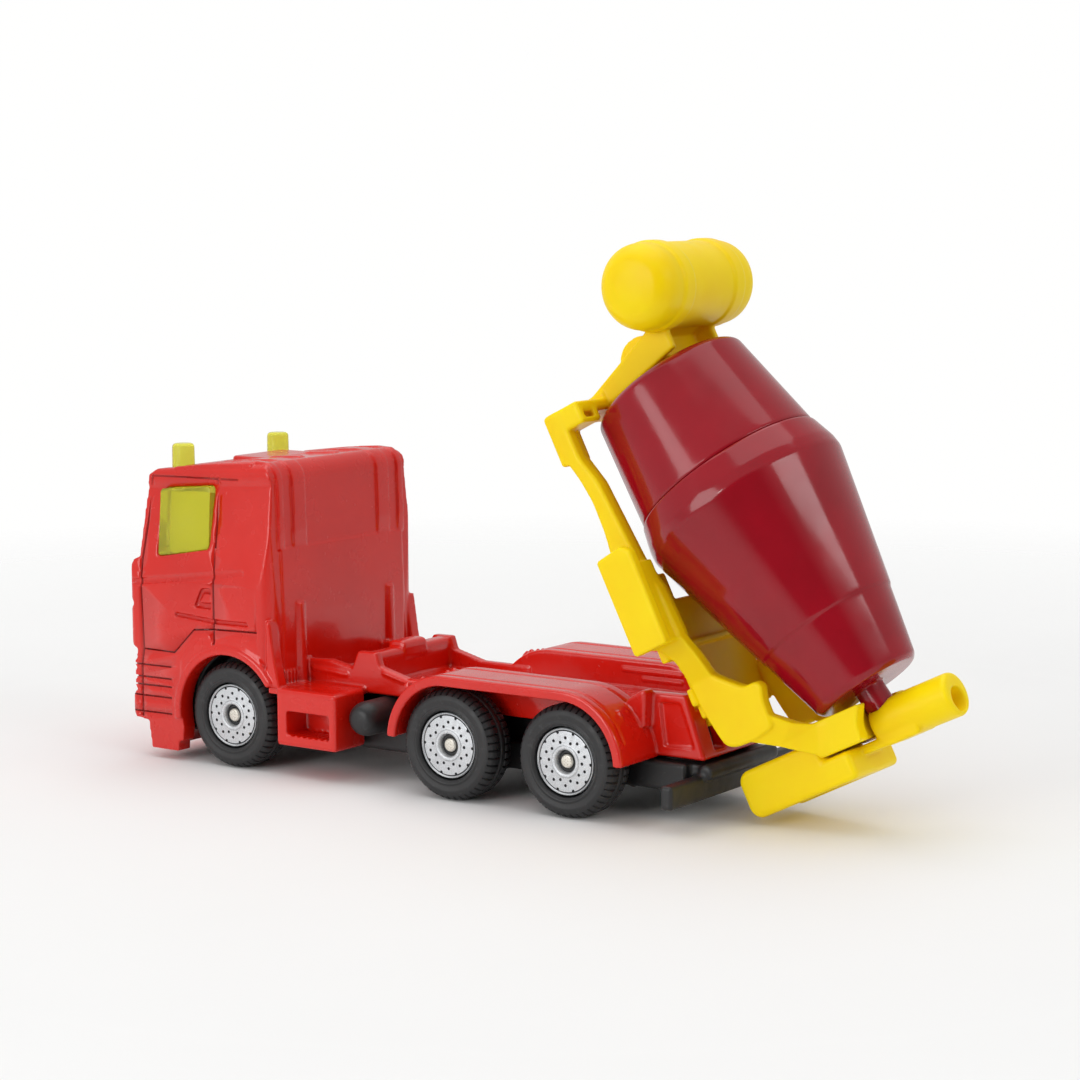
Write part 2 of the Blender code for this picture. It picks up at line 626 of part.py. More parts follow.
def drum_axis():
    slope = radians(DRUM_SLOPE_DEG)
    return Vector((cos(slope), 0, sin(slope)))


def drum_point(along):
    point = Vector((DRUM_FRONT_X, 0, DRUM_FRONT_Z)) + drum_axis() * along
    return tuple(point)


def make_drum(group, spin):
    """Two hollow mouldings that meet at the seam and turn on the same axis."""
    step = 0.3
    front = [(0, -4.0), (BOSS_R - 0.3, -4.0), (BOSS_R, -3.7), (BOSS_R, 0), (DRUM_FRONT_R - 0.5, 0),
             (DRUM_FRONT_R, 0.4), (SEAM_R - step / 2, SEAM_AT - GAP / 2),
             (SEAM_R - SHELL - step / 2, SEAM_AT - GAP / 2), (DRUM_FRONT_R - SHELL, SHELL), (0, SHELL)]
    shell = turned("drum_front_shell", front, drum_point(0), drum_axis(), group)
    finish(shell, MAROON, HOME, spin)

    bead = DRUM_LENGTH - 7.4
    bead_r = WIDEST_R + (MOUTH_R - WIDEST_R) * (bead - WIDEST_AT) / (DRUM_LENGTH - WIDEST_AT)
    tip = DRUM_LENGTH + 3.7
    back = [(0, DRUM_LENGTH - SHELL), (MOUTH_R - SHELL, DRUM_LENGTH - SHELL),
            (WIDEST_R - SHELL - 0.2, WIDEST_AT), (SEAM_R - SHELL, SEAM_AT + GAP / 2),
            (SEAM_R + step / 2, SEAM_AT + GAP / 2), (WIDEST_R - 0.2, WIDEST_AT - 0.9),
            (WIDEST_R, WIDEST_AT), (WIDEST_R - 0.25, WIDEST_AT + 1.0), (bead_r + 0.1, bead),
            (bead_r - 0.15, bead + 0.3), (MOUTH_R + 0.1, DRUM_LENGTH - 0.5),
            (MOUTH_R - 0.4, DRUM_LENGTH), (SHAFT_R, DRUM_LENGTH), (SHAFT_R, tip - 0.3),
            (SHAFT_R - 0.3, tip), (0, tip)]
    cone = turned("drum_rear_shell", back, drum_point(0), drum_axis(), group)
    return finish(cone, MAROON, HOME, spin)


def make_chute(group, tilt):
    """The feed hopper and the discharge chute, one moulding clipped on the bearing."""
    front, back, low, top = CHUTE_FRONT_X, CHUTE_BACK_X, CHUTE_LOW_Z, CHUTE_TOP_Z
    step_x, step_z = 17.15 + GAP, 23.4 - GAP
    corner = 1.3
    outline = (arc((front + corner, low + corner), corner, 180, 270, 4)
               + arc((back - corner, low + corner), corner, 270, 360, 4)
               + arc((back - 0.4, top - 0.4), 0.4, 0, 90, 2)
               + [(step_x, top), (step_x, step_z), (front, step_z)])
    chute = side_plate("hopper_and_chute", outline, -CHUTE_HALF, CHUTE_HALF, group)
    groove = [(step_x + 1.0, low - 1), (back + 1, low - 1), (back + 1, top - 2.4), (step_x + 1.0, top - 3.4)]
    cut(chute, side_plate("chute_groove", groove, -CHUTE_HALF + 0.9, CHUTE_HALF - 0.9, group))
    strap = [(step_x + 0.05, top - 1.5), (step_x + 0.85, top - 1.5), (18.5, 29.5), (18.5, 33.0), (16.7, 33.0),
             (16.7, 28.3), (step_x + 0.05, 28.3)]
    join(chute, side_plate("hopper_strap", strap, -1.9, 1.9, group))
    join(chute, rod("hopper_tube", (HOPPER_X, 0, HOPPER_LOW_Z), (HOPPER_X + 0.15, 0, HOPPER_TOP_Z),
                    HOPPER_R - 0.05, group, 28, HOPPER_R))
    cut(chute, rod("hopper_scoop", (HOPPER_X, 0, HOPPER_TOP_Z - 3.4), (HOPPER_X + 0.5, 0, HOPPER_TOP_Z + 1),
                   0.7, group, 20, 1.5))
    cut(chute, rod("shaft_bore", drum_point(DRUM_LENGTH - 0.5), drum_point(DRUM_LENGTH + 4.1),
                   SHAFT_R + BEARING_GAP, group, 24))
    return finish(chute, YELLOW, HOME, tilt)


def build():
    parts = new_collection("toy_cement_mixer")
    make_casting(parts)
    make_window_insert(parts)
    make_base_plate(parts)
    for word, x in zip(("front", "rear"), RIVET_X):
        make_rivet(word + "_rivet", x, parts)
    pin = rod("hinge_pin", (HINGE_X, -BLOCK_HALF + 0.6, HINGE_Z), (HINGE_X, BLOCK_HALF - 0.6, HINGE_Z),
              HINGE_PIN_R, parts, 20)
    finish(pin, STEEL, HOME)
    for place in AXLE_X:
        make_axle_set(place, parts)
    tilt = joint_empty("tip_joint", HOME, parts)
    spin = joint_empty("drum_joint", HOME, parts)
    spin.parent = tilt
    spin.location = (0, 0, 0)
    make_mixer_frame(parts, tilt)
    make_chute(parts, tilt)
    make_drum(parts, spin)
    tilt.rotation_euler.y = radians(TIP_DEG)


clear_scene()
HOME = world(HINGE_X, 0, HINGE_Z)
PAINT_RED = paint("red paint", (0.62, 0.02, 0.012), 0.22)
CLEAR_YELLOW = paint("clear yellow", (0.80, 0.86, 0.10), 0.08, 0.0, 0.55)
BLACK_PLASTIC = paint("black plastic", (0.015, 0.015, 0.017), 0.45)
BLACK_TYRE = paint("black tyre", (0.018, 0.018, 0.02), 0.6)
SILVER = paint("silver disc", (0.56, 0.58, 0.60), 0.35, 0.7)
STEEL = paint("steel", (0.62, 0.60, 0.56), 0.3, 1.0)
YELLOW = paint("yellow plastic", (0.95, 0.72, 0.02), 0.4)
MAROON = paint("maroon plastic", (0.26, 0.008, 0.02), 0.18)
build()
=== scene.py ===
"""Looks of the toy cement mixer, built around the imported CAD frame.

Shapes are drawn in millimetres in the truck frame: x rearwards from the rear
axle, y to the right, z up from the ground. The mixer is drawn as it lies when
lowered, then tipped about the hinge into its resting place.
"""
import json
from math import atan2, cos, exp, hypot, pi, radians, sin

import bmesh
import bpy
from mathutils import Matrix, Vector

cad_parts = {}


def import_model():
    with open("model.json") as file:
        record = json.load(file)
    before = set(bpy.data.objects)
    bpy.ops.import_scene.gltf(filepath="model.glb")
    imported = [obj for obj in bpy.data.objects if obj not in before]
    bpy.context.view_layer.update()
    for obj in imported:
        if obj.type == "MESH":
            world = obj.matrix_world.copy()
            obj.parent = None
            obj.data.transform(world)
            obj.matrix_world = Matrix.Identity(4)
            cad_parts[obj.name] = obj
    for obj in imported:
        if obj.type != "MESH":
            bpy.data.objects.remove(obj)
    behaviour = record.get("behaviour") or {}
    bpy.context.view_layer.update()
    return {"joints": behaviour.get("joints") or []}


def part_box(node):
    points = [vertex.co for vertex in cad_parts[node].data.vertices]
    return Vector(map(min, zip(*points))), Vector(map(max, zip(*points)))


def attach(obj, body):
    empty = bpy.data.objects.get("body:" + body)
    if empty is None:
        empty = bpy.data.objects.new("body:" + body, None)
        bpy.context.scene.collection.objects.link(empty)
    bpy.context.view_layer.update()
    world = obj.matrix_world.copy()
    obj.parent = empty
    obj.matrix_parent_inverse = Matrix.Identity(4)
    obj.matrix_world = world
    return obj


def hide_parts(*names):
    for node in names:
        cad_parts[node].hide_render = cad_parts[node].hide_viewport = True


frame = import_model()

MM = 0.001
FINE = 0.14
ROUND = 96


def node_middle(node):
    low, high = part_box(node)
    return (low + high) / 2


def joint_of(name):
    return next(joint for joint in frame["joints"] if joint["name"] == name)


AXLES = {place: node_middle(place + "_axle") for place in ("front", "middle", "rear")}
ZERO_X = AXLES["rear"].x / MM
AXLE_X = {place: centre.x / MM - ZERO_X for place, centre in AXLES.items()}
AXLE_Z = AXLES["rear"].z / MM
HINGE = Vector(joint_of("mixer_tip")["pos_m"])
HINGE_X = HINGE.x / MM - ZERO_X
HINGE_Z = HINGE.z / MM
TIP = radians(joint_of("mixer_tip")["range_deg"][1])
TIPPED = Matrix.Translation(HINGE) @ Matrix.Rotation(TIP, 4, "Y") @ Matrix.Translation(-HINGE)

# Cab and chassis
CAB_HALF = 12.75
CAB_BACK_X = -37.6
ROOF_FRONT_Z = 31.4
ROOF_BACK_Z = 33.5
ROOF_FALL = 1.5
ROOF_TAPER = 0.028
TAPER_FROM_Z = 20.0
WALL = 1.3
ARCH_R = 6.7
PLATFORM_Z = 9.5
STEP_FRONT_X = -36.9
STEP_BACK_X = -28.8
FENDER_HALF = 13.05
FENDER_R = 7.3
CHANNEL_HALF = 6.2
DECK_LOW_Z = 8.9
DECK_Z = 10.0
CROSS_TOP_Z = 13.35
BLOCK_HALF = 6.6
BEACON_X = -53.7
BEACON_Y = 8.0
BEACON_R = 1.28
BASE_LOW_Z = 3.0
RIVET_X = (-33.0, -7.2)

# Mixer frame and drum, lowered
RAIL_INNER = 8.7
RAIL_OUTER = 10.2
BOX_OUTER = 12.95
LEDGE_INNER = 7.9
LUG_INNER = 5.8
LUG_OUTER = 7.3
REST_Z = 13.35
POST_HALF = 4.9
PYLON_HALF = 4.6
TANK_X = -31.7
TANK_Z = 26.5
TANK_R = 4.3
TANK_HALF = 9.2
DRUM_START = Vector((-23.5, 0.0, 21.0))
DRUM_SLOPE = radians(12.0)
DRUM_AXIS = Vector((cos(DRUM_SLOPE), 0.0, sin(DRUM_SLOPE)))
DRUM_LENGTH = 36.8
SEAM_AT = 11.5
SEAM_R = 10.0
WIDEST_AT = 14.5
WIDEST_R = 10.85
MOUTH_R = 5.5

# ------------------------------------------------------------- mesh helpers


def world(x, y, z):
    return Vector(((x + ZERO_X) * MM, y * MM, z * MM))


def new_object(name, mesh):
    thing = bpy.data.objects.new(name, mesh)
    bpy.context.scene.collection.objects.link(thing)
    return thing


def add_mesh(name, bm):
    """Makes an object of a closed mesh, with its faces turned outwards."""
    bm.normal_update()
    bmesh.ops.recalc_face_normals(bm, faces=bm.faces)
    if bm.calc_volume(signed=True) < 0:
        bmesh.ops.reverse_faces(bm, faces=bm.faces)
    mesh = bpy.data.meshes.new(name)
    bm.to_mesh(mesh)
    bm.free()
    return new_object(name, mesh)


def shape_of(thing):
    bpy.context.view_layer.update()
    view = bpy.context.evaluated_depsgraph_get()
    return bpy.data.meshes.new_from_object(thing.evaluated_get(view))


def discard(things):
    for thing in things:
        bpy.data.objects.remove(thing, do_unlink=True)


def settle(thing):
    """Keeps the modified shape as the object's own mesh."""
    mesh = shape_of(thing)
    thing.modifiers.clear()
    thing.data = mesh
    return thing


def soften(thing, width, segments=3, angle=35.0):
    edge = thing.modifiers.new("rounded edges", "BEVEL")
    edge.width = width * MM
    edge.segments = segments
    edge.limit_method = "ANGLE"
    edge.angle_limit = radians(angle)
    return settle(thing)


def block(low, high, bevel=0.0):
    bm = bmesh.new()
    bmesh.ops.create_cube(bm, size=1.0)
    for vert in bm.verts:
        spot = [a + (b - a) * (c + 0.5) for a, b, c in zip(low, high, vert.co)]
        vert.co = world(*spot)
    thing = add_mesh("block", bm)
    return soften(thing, bevel) if bevel else thing


def rod(start, end, radius, end_radius=None, sides=48):
    low, high = world(*start), world(*end)
    along = high - low
    bm = bmesh.new()
    turn = along.to_track_quat("Z", "Y").to_matrix().to_4x4()
    bmesh.ops.create_cone(
        bm, cap_ends=True, segments=sides, radius1=radius * MM,
        radius2=(radius if end_radius is None else end_radius) * MM,
        depth=along.length, matrix=Matrix.Translation((low + high) / 2) @ turn)
    return add_mesh("rod", bm)


def arc(centre, radius, start_deg, end_deg, steps=16):
    """Points of an arc, counted from the first axis towards the second."""
    angles = [radians(start_deg + (end_deg - start_deg) * i / steps) for i in range(steps + 1)]
    return [(centre[0] + radius * cos(a), centre[1] + radius * sin(a)) for a in angles]


def bend(before, here, after, radius, steps):
    """The points of the short arc that takes the place of a corner."""
    here = Vector(here)
    back, on = Vector(before) - here, Vector(after) - here
    reach = min(radius, back.length / 2.2, on.length / 2.2)
    start = here + back.normalized() * reach
    end = here + on.normalized() * reach
    shares = [k / steps for k in range(steps + 1)]
    return [tuple(start * (1 - t) ** 2 + here * 2 * t * (1 - t) + end * t ** 2) for t in shares]


def rounded(points, radius, steps=5):
    """The same outline with each corner turned into a short arc."""
    outline = []
    for before, here, after in zip(points[-1:] + points[:-1], points, points[1:] + points[:1]):
        outline += bend(before, here, after, radius, steps)
    return outline


def smooth_profile(points, radius, steps=4):
    """An open profile with its inner corners rounded."""
    path = [points[0]]
    for before, here, after in zip(points, points[1:], points[2:]):
        path += bend(before, here, after, radius, steps)
    return path + [points[-1]]


def capsule(start, end, width):
    """A straight slot with round ends."""
    lean = atan2(end[1] - start[1], end[0] - start[0]) * 180 / pi
    return (arc(end, width / 2, lean - 90, lean + 90, 8)
            + arc(start, width / 2, lean + 90, lean + 270, 8))


def outline_mesh(points, thickness):
    """A flat outline filled and made solid as a curve, then turned into a welded mesh."""
    curve = bpy.data.curves.new("outline", "CURVE")
    curve.dimensions = "2D"
    curve.fill_mode = "BOTH"
    curve.extrude = thickness * MM / 2
    line = curve.splines.new("POLY")
    line.points.add(len(points) - 1)
    for knot, (a, b) in zip(line.points, points):
        knot.co = (a * MM, b * MM, 0.0, 1.0)
    line.use_cyclic_u = True
    drawing = new_object("outline", curve)
    mesh = shape_of(drawing)
    discard([drawing])
    bm = bmesh.new()
    bm.from_mesh(mesh)
    bpy.data.meshes.remove(mesh)
    bmesh.ops.remove_doubles(bm, verts=bm.verts, dist=0.000001)
    bmesh.ops.dissolve_limit(bm, angle_limit=radians(0.2), verts=bm.verts, edges=bm.edges)
    return bm


def plate(points, low, high, order, bevel=0.0, segments=3):
    """An outline made solid between two planes; order turns its axes into x, y, z."""
    bm = outline_mesh(points, high - low)
    middle = (low + high) / 2
    for vert in bm.verts:
        a, b, depth = vert.co
        vert.co = world(*order(a / MM, b / MM, middle + depth / MM))
    thing = add_mesh("plate", bm)
    return soften(thing, bevel, segments) if bevel else thing


def side_plate(points, y_low, y_high, bevel=0.0, segments=3):
    return plate(points, y_low, y_high, lambda x, z, y: (x, y, z), bevel, segments)


def wing(side, points, near, far, bevel=0.0, segments=3):
    """A side plate on one side of the toy, between two distances from its middle."""
    return side_plate(points, *span(side, near, far), bevel, segments)


def plan_plate(points, z_low, z_high, bevel=0.0, segments=3):
    return plate(points, z_low, z_high, lambda x, y, z: (x, y, z), bevel, segments)


def back_plate(points, x_low, x_high):
    return plate(points, x_low, x_high, lambda y, z, x: (x, y, z))


def slab(side, x_span, y_span, z_span, bevel=0.0):
    """A block on one side of the toy, its y span counted from the middle."""
    y_low, y_high = span(side, *y_span)
    return block((x_span[0], y_low, z_span[0]), (x_span[1], y_high, z_span[1]), bevel)


def bent_bar(sections, side):
    """A bar through sections given as outer y, inner y, top (x, z) and bottom (x, z)."""
    bm = bmesh.new()
    rings = []
    for outer, inner, top, bottom in sections:
        corners = ((top, outer), (top, inner), (bottom, inner), (bottom, outer))
        rings.append([bm.verts.new(world(x, side * y, z)) for (x, z), y in corners])
    bm.faces.new(rings[0])
    bm.faces.new(rings[-1][::-1])
    for near, far in zip(rings, rings[1:]):
        for i in range(4):
            k = (i + 1) % 4
            bm.faces.new((near[i], far[i], far[k]))
            bm.faces.new((near[i], far[k], near[k]))
    return add_mesh("bent_bar", bm)


def turned(name, profile, start, axis, sides=ROUND):
    """A closed profile of (radius, distance along the axis) turned about that axis."""
    bm = bmesh.new()
    verts = [bm.verts.new((r * MM, 0.0, along * MM)) for r, along in profile]
    edges = [bm.edges.new(pair) for pair in zip(verts, verts[1:])]
    if min(profile[0][0], profile[-1][0]) > 0:
        edges.append(bm.edges.new((verts[-1], verts[0])))
    bmesh.ops.spin(bm, geom=verts + edges, axis=(0, 0, 1), cent=(0, 0, 0),
                   angle=2 * pi, steps=sides, use_merge=True)
    bmesh.ops.remove_doubles(bm, verts=bm.verts, dist=0.000002)
    turn = Vector(axis).to_track_quat("Z", "Y").to_matrix().to_4x4()
    bmesh.ops.transform(bm, matrix=Matrix.Translation(world(*start)) @ turn, verts=bm.verts)
    return add_mesh(name, bm)


def combine(target, tools, operation):
    """One exact Boolean of the target with all the tools, which are then dropped."""
    bench = bpy.data.collections.new("bench")
    bpy.context.scene.collection.children.link(bench)
    for tool in tools:
        bench.objects.link(tool)
    change = target.modifiers.new("change", "BOOLEAN")
    change.operation = operation
    change.operand_type = "COLLECTION"
    change.solver = "EXACT"
    change.collection = bench
    settle(target)
    discard(tools)
    bpy.data.collections.remove(bench)
    return target


def cut(target, tools):
    return combine(target, tools, "DIFFERENCE")


def join(target, tools):
    return combine(target, tools, "UNION")


def keep_common(target, tool):
    change = target.modifiers.new("common", "BOOLEAN")
    change.operation = "INTERSECT"
    change.solver = "EXACT"
    change.object = tool
    settle(target)
    discard([tool])
    return target


def melt(name, solids, voxel, passes, faces=190000):
    """Runs overlapping solids together into one skin whose edges are a little rounded."""
    bm = bmesh.new()
    for thing in solids:
        bm.from_mesh(thing.data)
    mesh = bpy.data.meshes.new(name)
    bm.to_mesh(mesh)
    bm.free()
    discard(solids)
    thing = new_object(name, mesh)
    skin = thing.modifiers.new("one skin", "REMESH")
    skin.mode = "VOXEL"
    skin.voxel_size = voxel * MM
    relax = thing.modifiers.new("relaxed", "SMOOTH")
    relax.factor = 0.5
    relax.iterations = passes
    settle(thing)
    count = 2 * len(thing.data.polygons)
    if count > faces:
        thin = thing.modifiers.new("fewer faces", "DECIMATE")
        thin.ratio = faces / count
        settle(thing)
    return thing


def sides(maker):
    """The left and right copies of something made from a side's sign."""
    return [thing for side in (-1, 1) for thing in maker(side)]


def span(side, near, far):
    return sorted((side * near, side * far))


def place(thing, look, body, slot, *nodes, sharp=None):
    """Gives a finished piece its material and its body, and hides the CAD nodes it stands for; the slot is not used."""
    thing.data.materials.clear()
    thing.data.materials.append(look)
    thing.data.shade_smooth()
    if sharp:
        thing.data.set_sharp_from_angle(angle=radians(sharp))
    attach(thing, body)
    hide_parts(*nodes)
    return thing


def tip(thing):
    thing.data.transform(TIPPED)
    return thing

# ------------------------------------------------------------- the casting

SEAM = 0.3
SEAM_DEPTH = 0.42


def lean(thing):
    """Draws the cab's sides in towards the roof."""
    for vert in thing.data.vertices:
        over = max(0.0, vert.co.z / MM - TAPER_FROM_Z) / (ROOF_BACK_Z - TAPER_FROM_Z)
        vert.co.y *= 1.0 - ROOF_TAPER * over
    return thing


def cab_profile(inset=0.0):
    """The cab from the side: skirt, bumper, grille, screen, roof and back wall."""
    crown = arc((-40.3 - inset, ROOF_BACK_Z - 2.25 - inset), 2.2, 86, 4, 10)
    front = [(-54.9, 1.1), (-55.35, 4.1), (-57.3, 4.35), (-57.6, 4.9), (-57.6, 6.8), (-57.3, 7.15),
             (-56.9, 7.4), (-57.15, 7.75), (-57.2, 8.5), (-56.95, 8.8), (-57.2, 9.15), (-57.15, 9.6), (-56.95, 9.85),
             (-57.25, 10.2), (-57.2, 10.6), (-56.9, 10.9), (-56.85, 12.0), (-57.6, 12.35), (-57.95, 13.2),
             (-57.95, 16.2), (-57.6, 16.6), (-57.3, 16.85), (-57.35, 17.2), (-57.65, 17.5), (-57.65, 21.3),
             (-57.3, 21.9), (-56.45, 22.25), (-56.0, 28.0)]
    return [(x + inset, z) for x, z in front] + [
        (-55.5 + inset, ROOF_FRONT_Z - 0.1 - inset), (-54.6 + inset, ROOF_FRONT_Z + 0.55 - inset),
        (-50.0, 32.4 - inset), (-45.0, 32.95 - inset)] + crown + [
        (-37.95 - inset, 26.0), (CAB_BACK_X - inset, 17.0)]


def slot_cutters(points, width, depth):
    """Cutters for a groove along a line on both side walls."""
    return sides(lambda side: [
        lean(wing(side, capsule(a, b, width), CAB_HALF - depth, CAB_HALF + 1.0))
        for a, b in zip(points, points[1:])])


def pocket_cutters(points, depth, corner=0.4):
    outline = rounded(points, corner)
    return sides(lambda side: [lean(wing(side, outline, CAB_HALF - depth, CAB_HALF + 1.0))])


def cab_seams():
    cutters = slot_cutters([(-55.95, 22.1), (-56.0, 20.0), (-56.05, 19.4), (-55.8, 12.1),
                            (-56.1, 10.4), (-56.15, 4.6)], SEAM, SEAM_DEPTH)
    cutters += slot_cutters([(-45.45, 24.0), (-45.5, 20.0), (-45.5, 13.5)], SEAM, SEAM_DEPTH)
    cutters += slot_cutters([(-54.85, 31.2), (-55.95, 22.1)], SEAM, SEAM_DEPTH + 0.5)
    cutters += slot_cutters([(-45.3, 31.4), (-45.45, 24.0)], SEAM, SEAM_DEPTH + 0.5)
    cutters += slot_cutters([(-55.8, 12.1), (-51.3, 12.05), (-48.4, 14.8), (-45.5, 15.1), (-39.5, 15.25)],
                            0.2, 0.36)
    cutters += slot_cutters([(-54.85, 31.2), (-50.0, 31.3), (-42.7, 31.4)], 0.2, SEAM_DEPTH + 0.5)
    for z in (10.3, 8.95, 8.05, 6.85, 5.05):
        cutters += slot_cutters([(-57.4, z), (-51.9, z + 0.06)], 0.2, 0.3)
    return cutters


def cab_creases():
    cutters = slot_cutters([(-56.9, 19.45), (-55.0, 19.7), (-41.6, 21.45)], 0.75, 0.26)
    cutters += slot_cutters([(-50.9, 16.3), (-45.6, 15.95), (-40.9, 16.0)], 0.5, 0.3)
    cutters += pocket_cutters([(-48.35, 17.3), (-47.3, 19.45), (-45.85, 19.5), (-45.85, 17.2)], 0.4, 0.25)
    cutters += pocket_cutters([(-44.85, 24.3), (-44.75, 31.2), (-42.45, 31.4), (-42.4, 25.2)], 0.32, 0.5)
    cutters += pocket_cutters([(-54.6, 21.75), (-53.9, 30.6), (-45.85, 31.1), (-46.1, 23.35)], 0.22, 0.5)
    return cutters


def windows():
    opening = rounded([(-53.3, 30.0), (-46.0, 30.6), (-46.4, 23.7), (-53.9, 22.4)], 0.55)
    screen = rounded([(-10.3, 22.9), (-10.0, 30.2), (10.0, 30.2), (10.3, 22.9)], 1.0)
    return [side_plate(opening, -14, 14), back_plate(screen, -58.5, -52.0)]


def beacon_holes():
    return sides(lambda side: [rod((BEACON_X, side * BEACON_Y, 28.0), (BEACON_X, side * BEACON_Y, 36.0),
                                   BEACON_R + 0.2)])


def wheel_wells(radius):
    centre = (AXLE_X["front"], AXLE_Z)
    return sides(lambda side: [rod((centre[0], side * 8.1, centre[1]), (centre[0], side * 13.8, centre[1]),
                                   radius)])


def front_details():
    """Grille slats, lamp recesses and bumper slots, kept plain and unmarked."""
    cutters = []
    for z in (13.5, 14.6, 15.7, 17.9, 19.0, 20.1):
        slat = rounded([(-7.6, z), (-7.6, z + 0.55), (7.6, z + 0.55), (7.6, z)], 0.2)
        cutters.append(back_plate(slat, -58.5, -57.2))
    for side in (-1, 1):
        low, high = span(side, 8.2, 11.4)
        lamp = rounded([(low, 7.6), (low, 10.6), (high, 10.6), (high, 7.6)], 0.6)
        cutters.append(back_plate(lamp, -58.5, -56.5))
        low, high = span(side, 2.6, 7.2)
        vent = rounded([(low, 5.1), (low, 6.5), (high, 6.5), (high, 5.1)], 0.4)
        cutters.append(back_plate(vent, -58.5, -56.9))
    for y in (-4.3, 4.3):
        cutters.append(back_plate(capsule((y - 3.0, 22.6), (y + 3.0, 22.6), 0.24), -58.5, -56.1))
    return cutters


def back_wall_trim():
    """Ribs over the roof's rear edge, a raised panel, two posts, gussets and small cooling ribs."""
    solids = []
    rim = [(x + 0.3, z + 0.05) for x, z in cab_profile()[-11:-1]]
    band = [(-43.5, 33.62)] + rim + [(-37.72, 24.1), (-39.6, 24.1), (-41.5, 31.5), (-43.5, 32.6)]
    for low, high in ((-10.8, -9.9), (-8.3, -6.2), (6.2, 8.3), (9.9, 10.8)):
        solids.append(keep_common(side_plate(band, low, high), cab_from_behind(0.25)))
    panel = [(-38.1, PLATFORM_Z), (-37.42, PLATFORM_Z), (-37.46, 17.0), (-37.7, 24.15), (-38.3, 24.15)]
    solids.append(side_plate(panel, -10.5, 10.5, 0.12))
    for side in (-1, 1):
        solids.append(rod((-37.55, side * 7.725, PLATFORM_Z), (-37.85, side * 7.725, 18.1), 0.8))
        gusset = [(-38.2, PLATFORM_Z), (-36.5, PLATFORM_Z), (-37.1, 12.2), (-37.75, 16.6), (-38.2, 16.6)]
        solids.append(wing(side, gusset, 11.2, 12.72, 0.2))
        for k in range(6):
            y = side * (7.9 + 0.55 * k)
            solids.append(block((-38.0, y - 0.12, PLATFORM_Z), (-37.15, y + 0.12, PLATFORM_Z + 1.5), 0.08))
    return solids


def roof_trim():
    """Long shallow ribs along the roof."""
    solids = []
    for y in (-10.9, -7.2, -3.0, 3.0, 7.2, 10.9):
        rib = [(-52.5, 31.9), (-52.0, 32.3), (-45.0, 33.15), (-42.0, 33.5), (-41.0, 33.55), (-41.0, 32.2)]
        solids.append(keep_common(side_plate(rib, y - 0.45, y + 0.45, 0.1), cab_from_behind(0.22)))
    hatch = rounded([(-50.0, -4.4), (-50.0, 4.4), (-44.6, 4.4), (-44.6, -4.4)], 0.8)
    solids.append(plan_plate(hatch, 31.8, 33.05, 0.25))
    return solids


def arch_flare(side):
    """The raised lip over the front wheel, with a brow above it."""
    centre = (AXLE_X["front"], AXLE_Z)
    lip = arc(centre, 7.6, 33, 188, 30) + arc(centre, ARCH_R, 188, 33, 30)
    brow = ([(-50.5, 8.2), (-50.3, 11.3), (-49.6, 12.2), (-48.2, 13.45), (-45.3, 13.55), (-41.0, 13.3),
             (-39.2, 12.5), (-38.1, 11.0)] + arc(centre, ARCH_R, 35, 166, 24))
    return [wing(side, lip, CAB_HALF - 1.0, CAB_HALF + 0.32, 0.2),
            wing(side, brow, CAB_HALF - 1.0, CAB_HALF + 0.12, 0.08)]


def handle_bar(side):
    bar = rounded([(-47.6, 17.9), (-46.9, 18.9), (-46.1, 18.9), (-46.1, 17.9)], 0.2)
    return [wing(side, bar, CAB_HALF - 0.6, CAB_HALF - 0.1)]


def cab_from_behind(grow=0.0):
    """The cab from behind: walls drawn in towards the roof, and soft roof edges."""
    half, top = CAB_HALF + grow, ROOF_BACK_Z + grow
    roof_half = half - CAB_HALF * ROOF_TAPER
    outline = [(-half, -4.0), (-half, TAPER_FROM_Z)] + rounded(
        [(-roof_half, top), (roof_half, top), (0.0, 0.0)], 2.6, 8)[:18] + [(half, TAPER_FROM_Z), (half, -4.0)]
    solid = back_plate(outline, -59.0, -37.0)
    for vert in solid.data.vertices:
        if vert.co.x < world(-50.0, 0, 0).x and vert.co.z > 25 * MM:
            vert.co.z -= ROOF_FALL * MM
    return solid


def make_cab():
    front_arch = arc((AXLE_X["front"], AXLE_Z), ARCH_R, 28, 196, 40)
    outline = cab_profile() + [(CAB_BACK_X, 8.7)] + front_arch + [(-50.3, 2.3), (-50.9, 2.2), (-51.0, 1.1)]
    cab = side_plate(outline, -CAB_HALF - 0.5, CAB_HALF + 0.5)
    plan = (arc((-57.05, -11.8), 0.95, 180, 270, 12) + arc((-39.5, -10.85), 1.9, 270, 360, 12)
            + arc((-39.5, 10.85), 1.9, 0, 90, 12) + arc((-57.05, 11.8), 0.95, 90, 180, 12))
    keep_common(cab, plan_plate(plan, 0.0, 36.0))
    keep_common(cab, cab_from_behind())
    inner = CAB_HALF - WALL - 0.6
    hollow = [(x, z if z > 2 else -1.0) for x, z in cab_profile(WALL)] + [(CAB_BACK_X - WALL, -1.0)]
    cut(cab, [side_plate(hollow, -inner, inner)])
    cut(cab, windows() + beacon_holes() + wheel_wells(ARCH_R - 0.05) + front_details())
    cut(cab, cab_creases())
    return [cab] + sides(arch_flare) + sides(handle_bar) + back_wall_trim() + cut_roof(roof_trim())


def cut_roof(solids):
    """Keeps the roof's trim clear of the beacons."""
    for thing in solids:
        if thing.dimensions.y < 2 * MM:
            cut(thing, beacon_holes())
    return solids


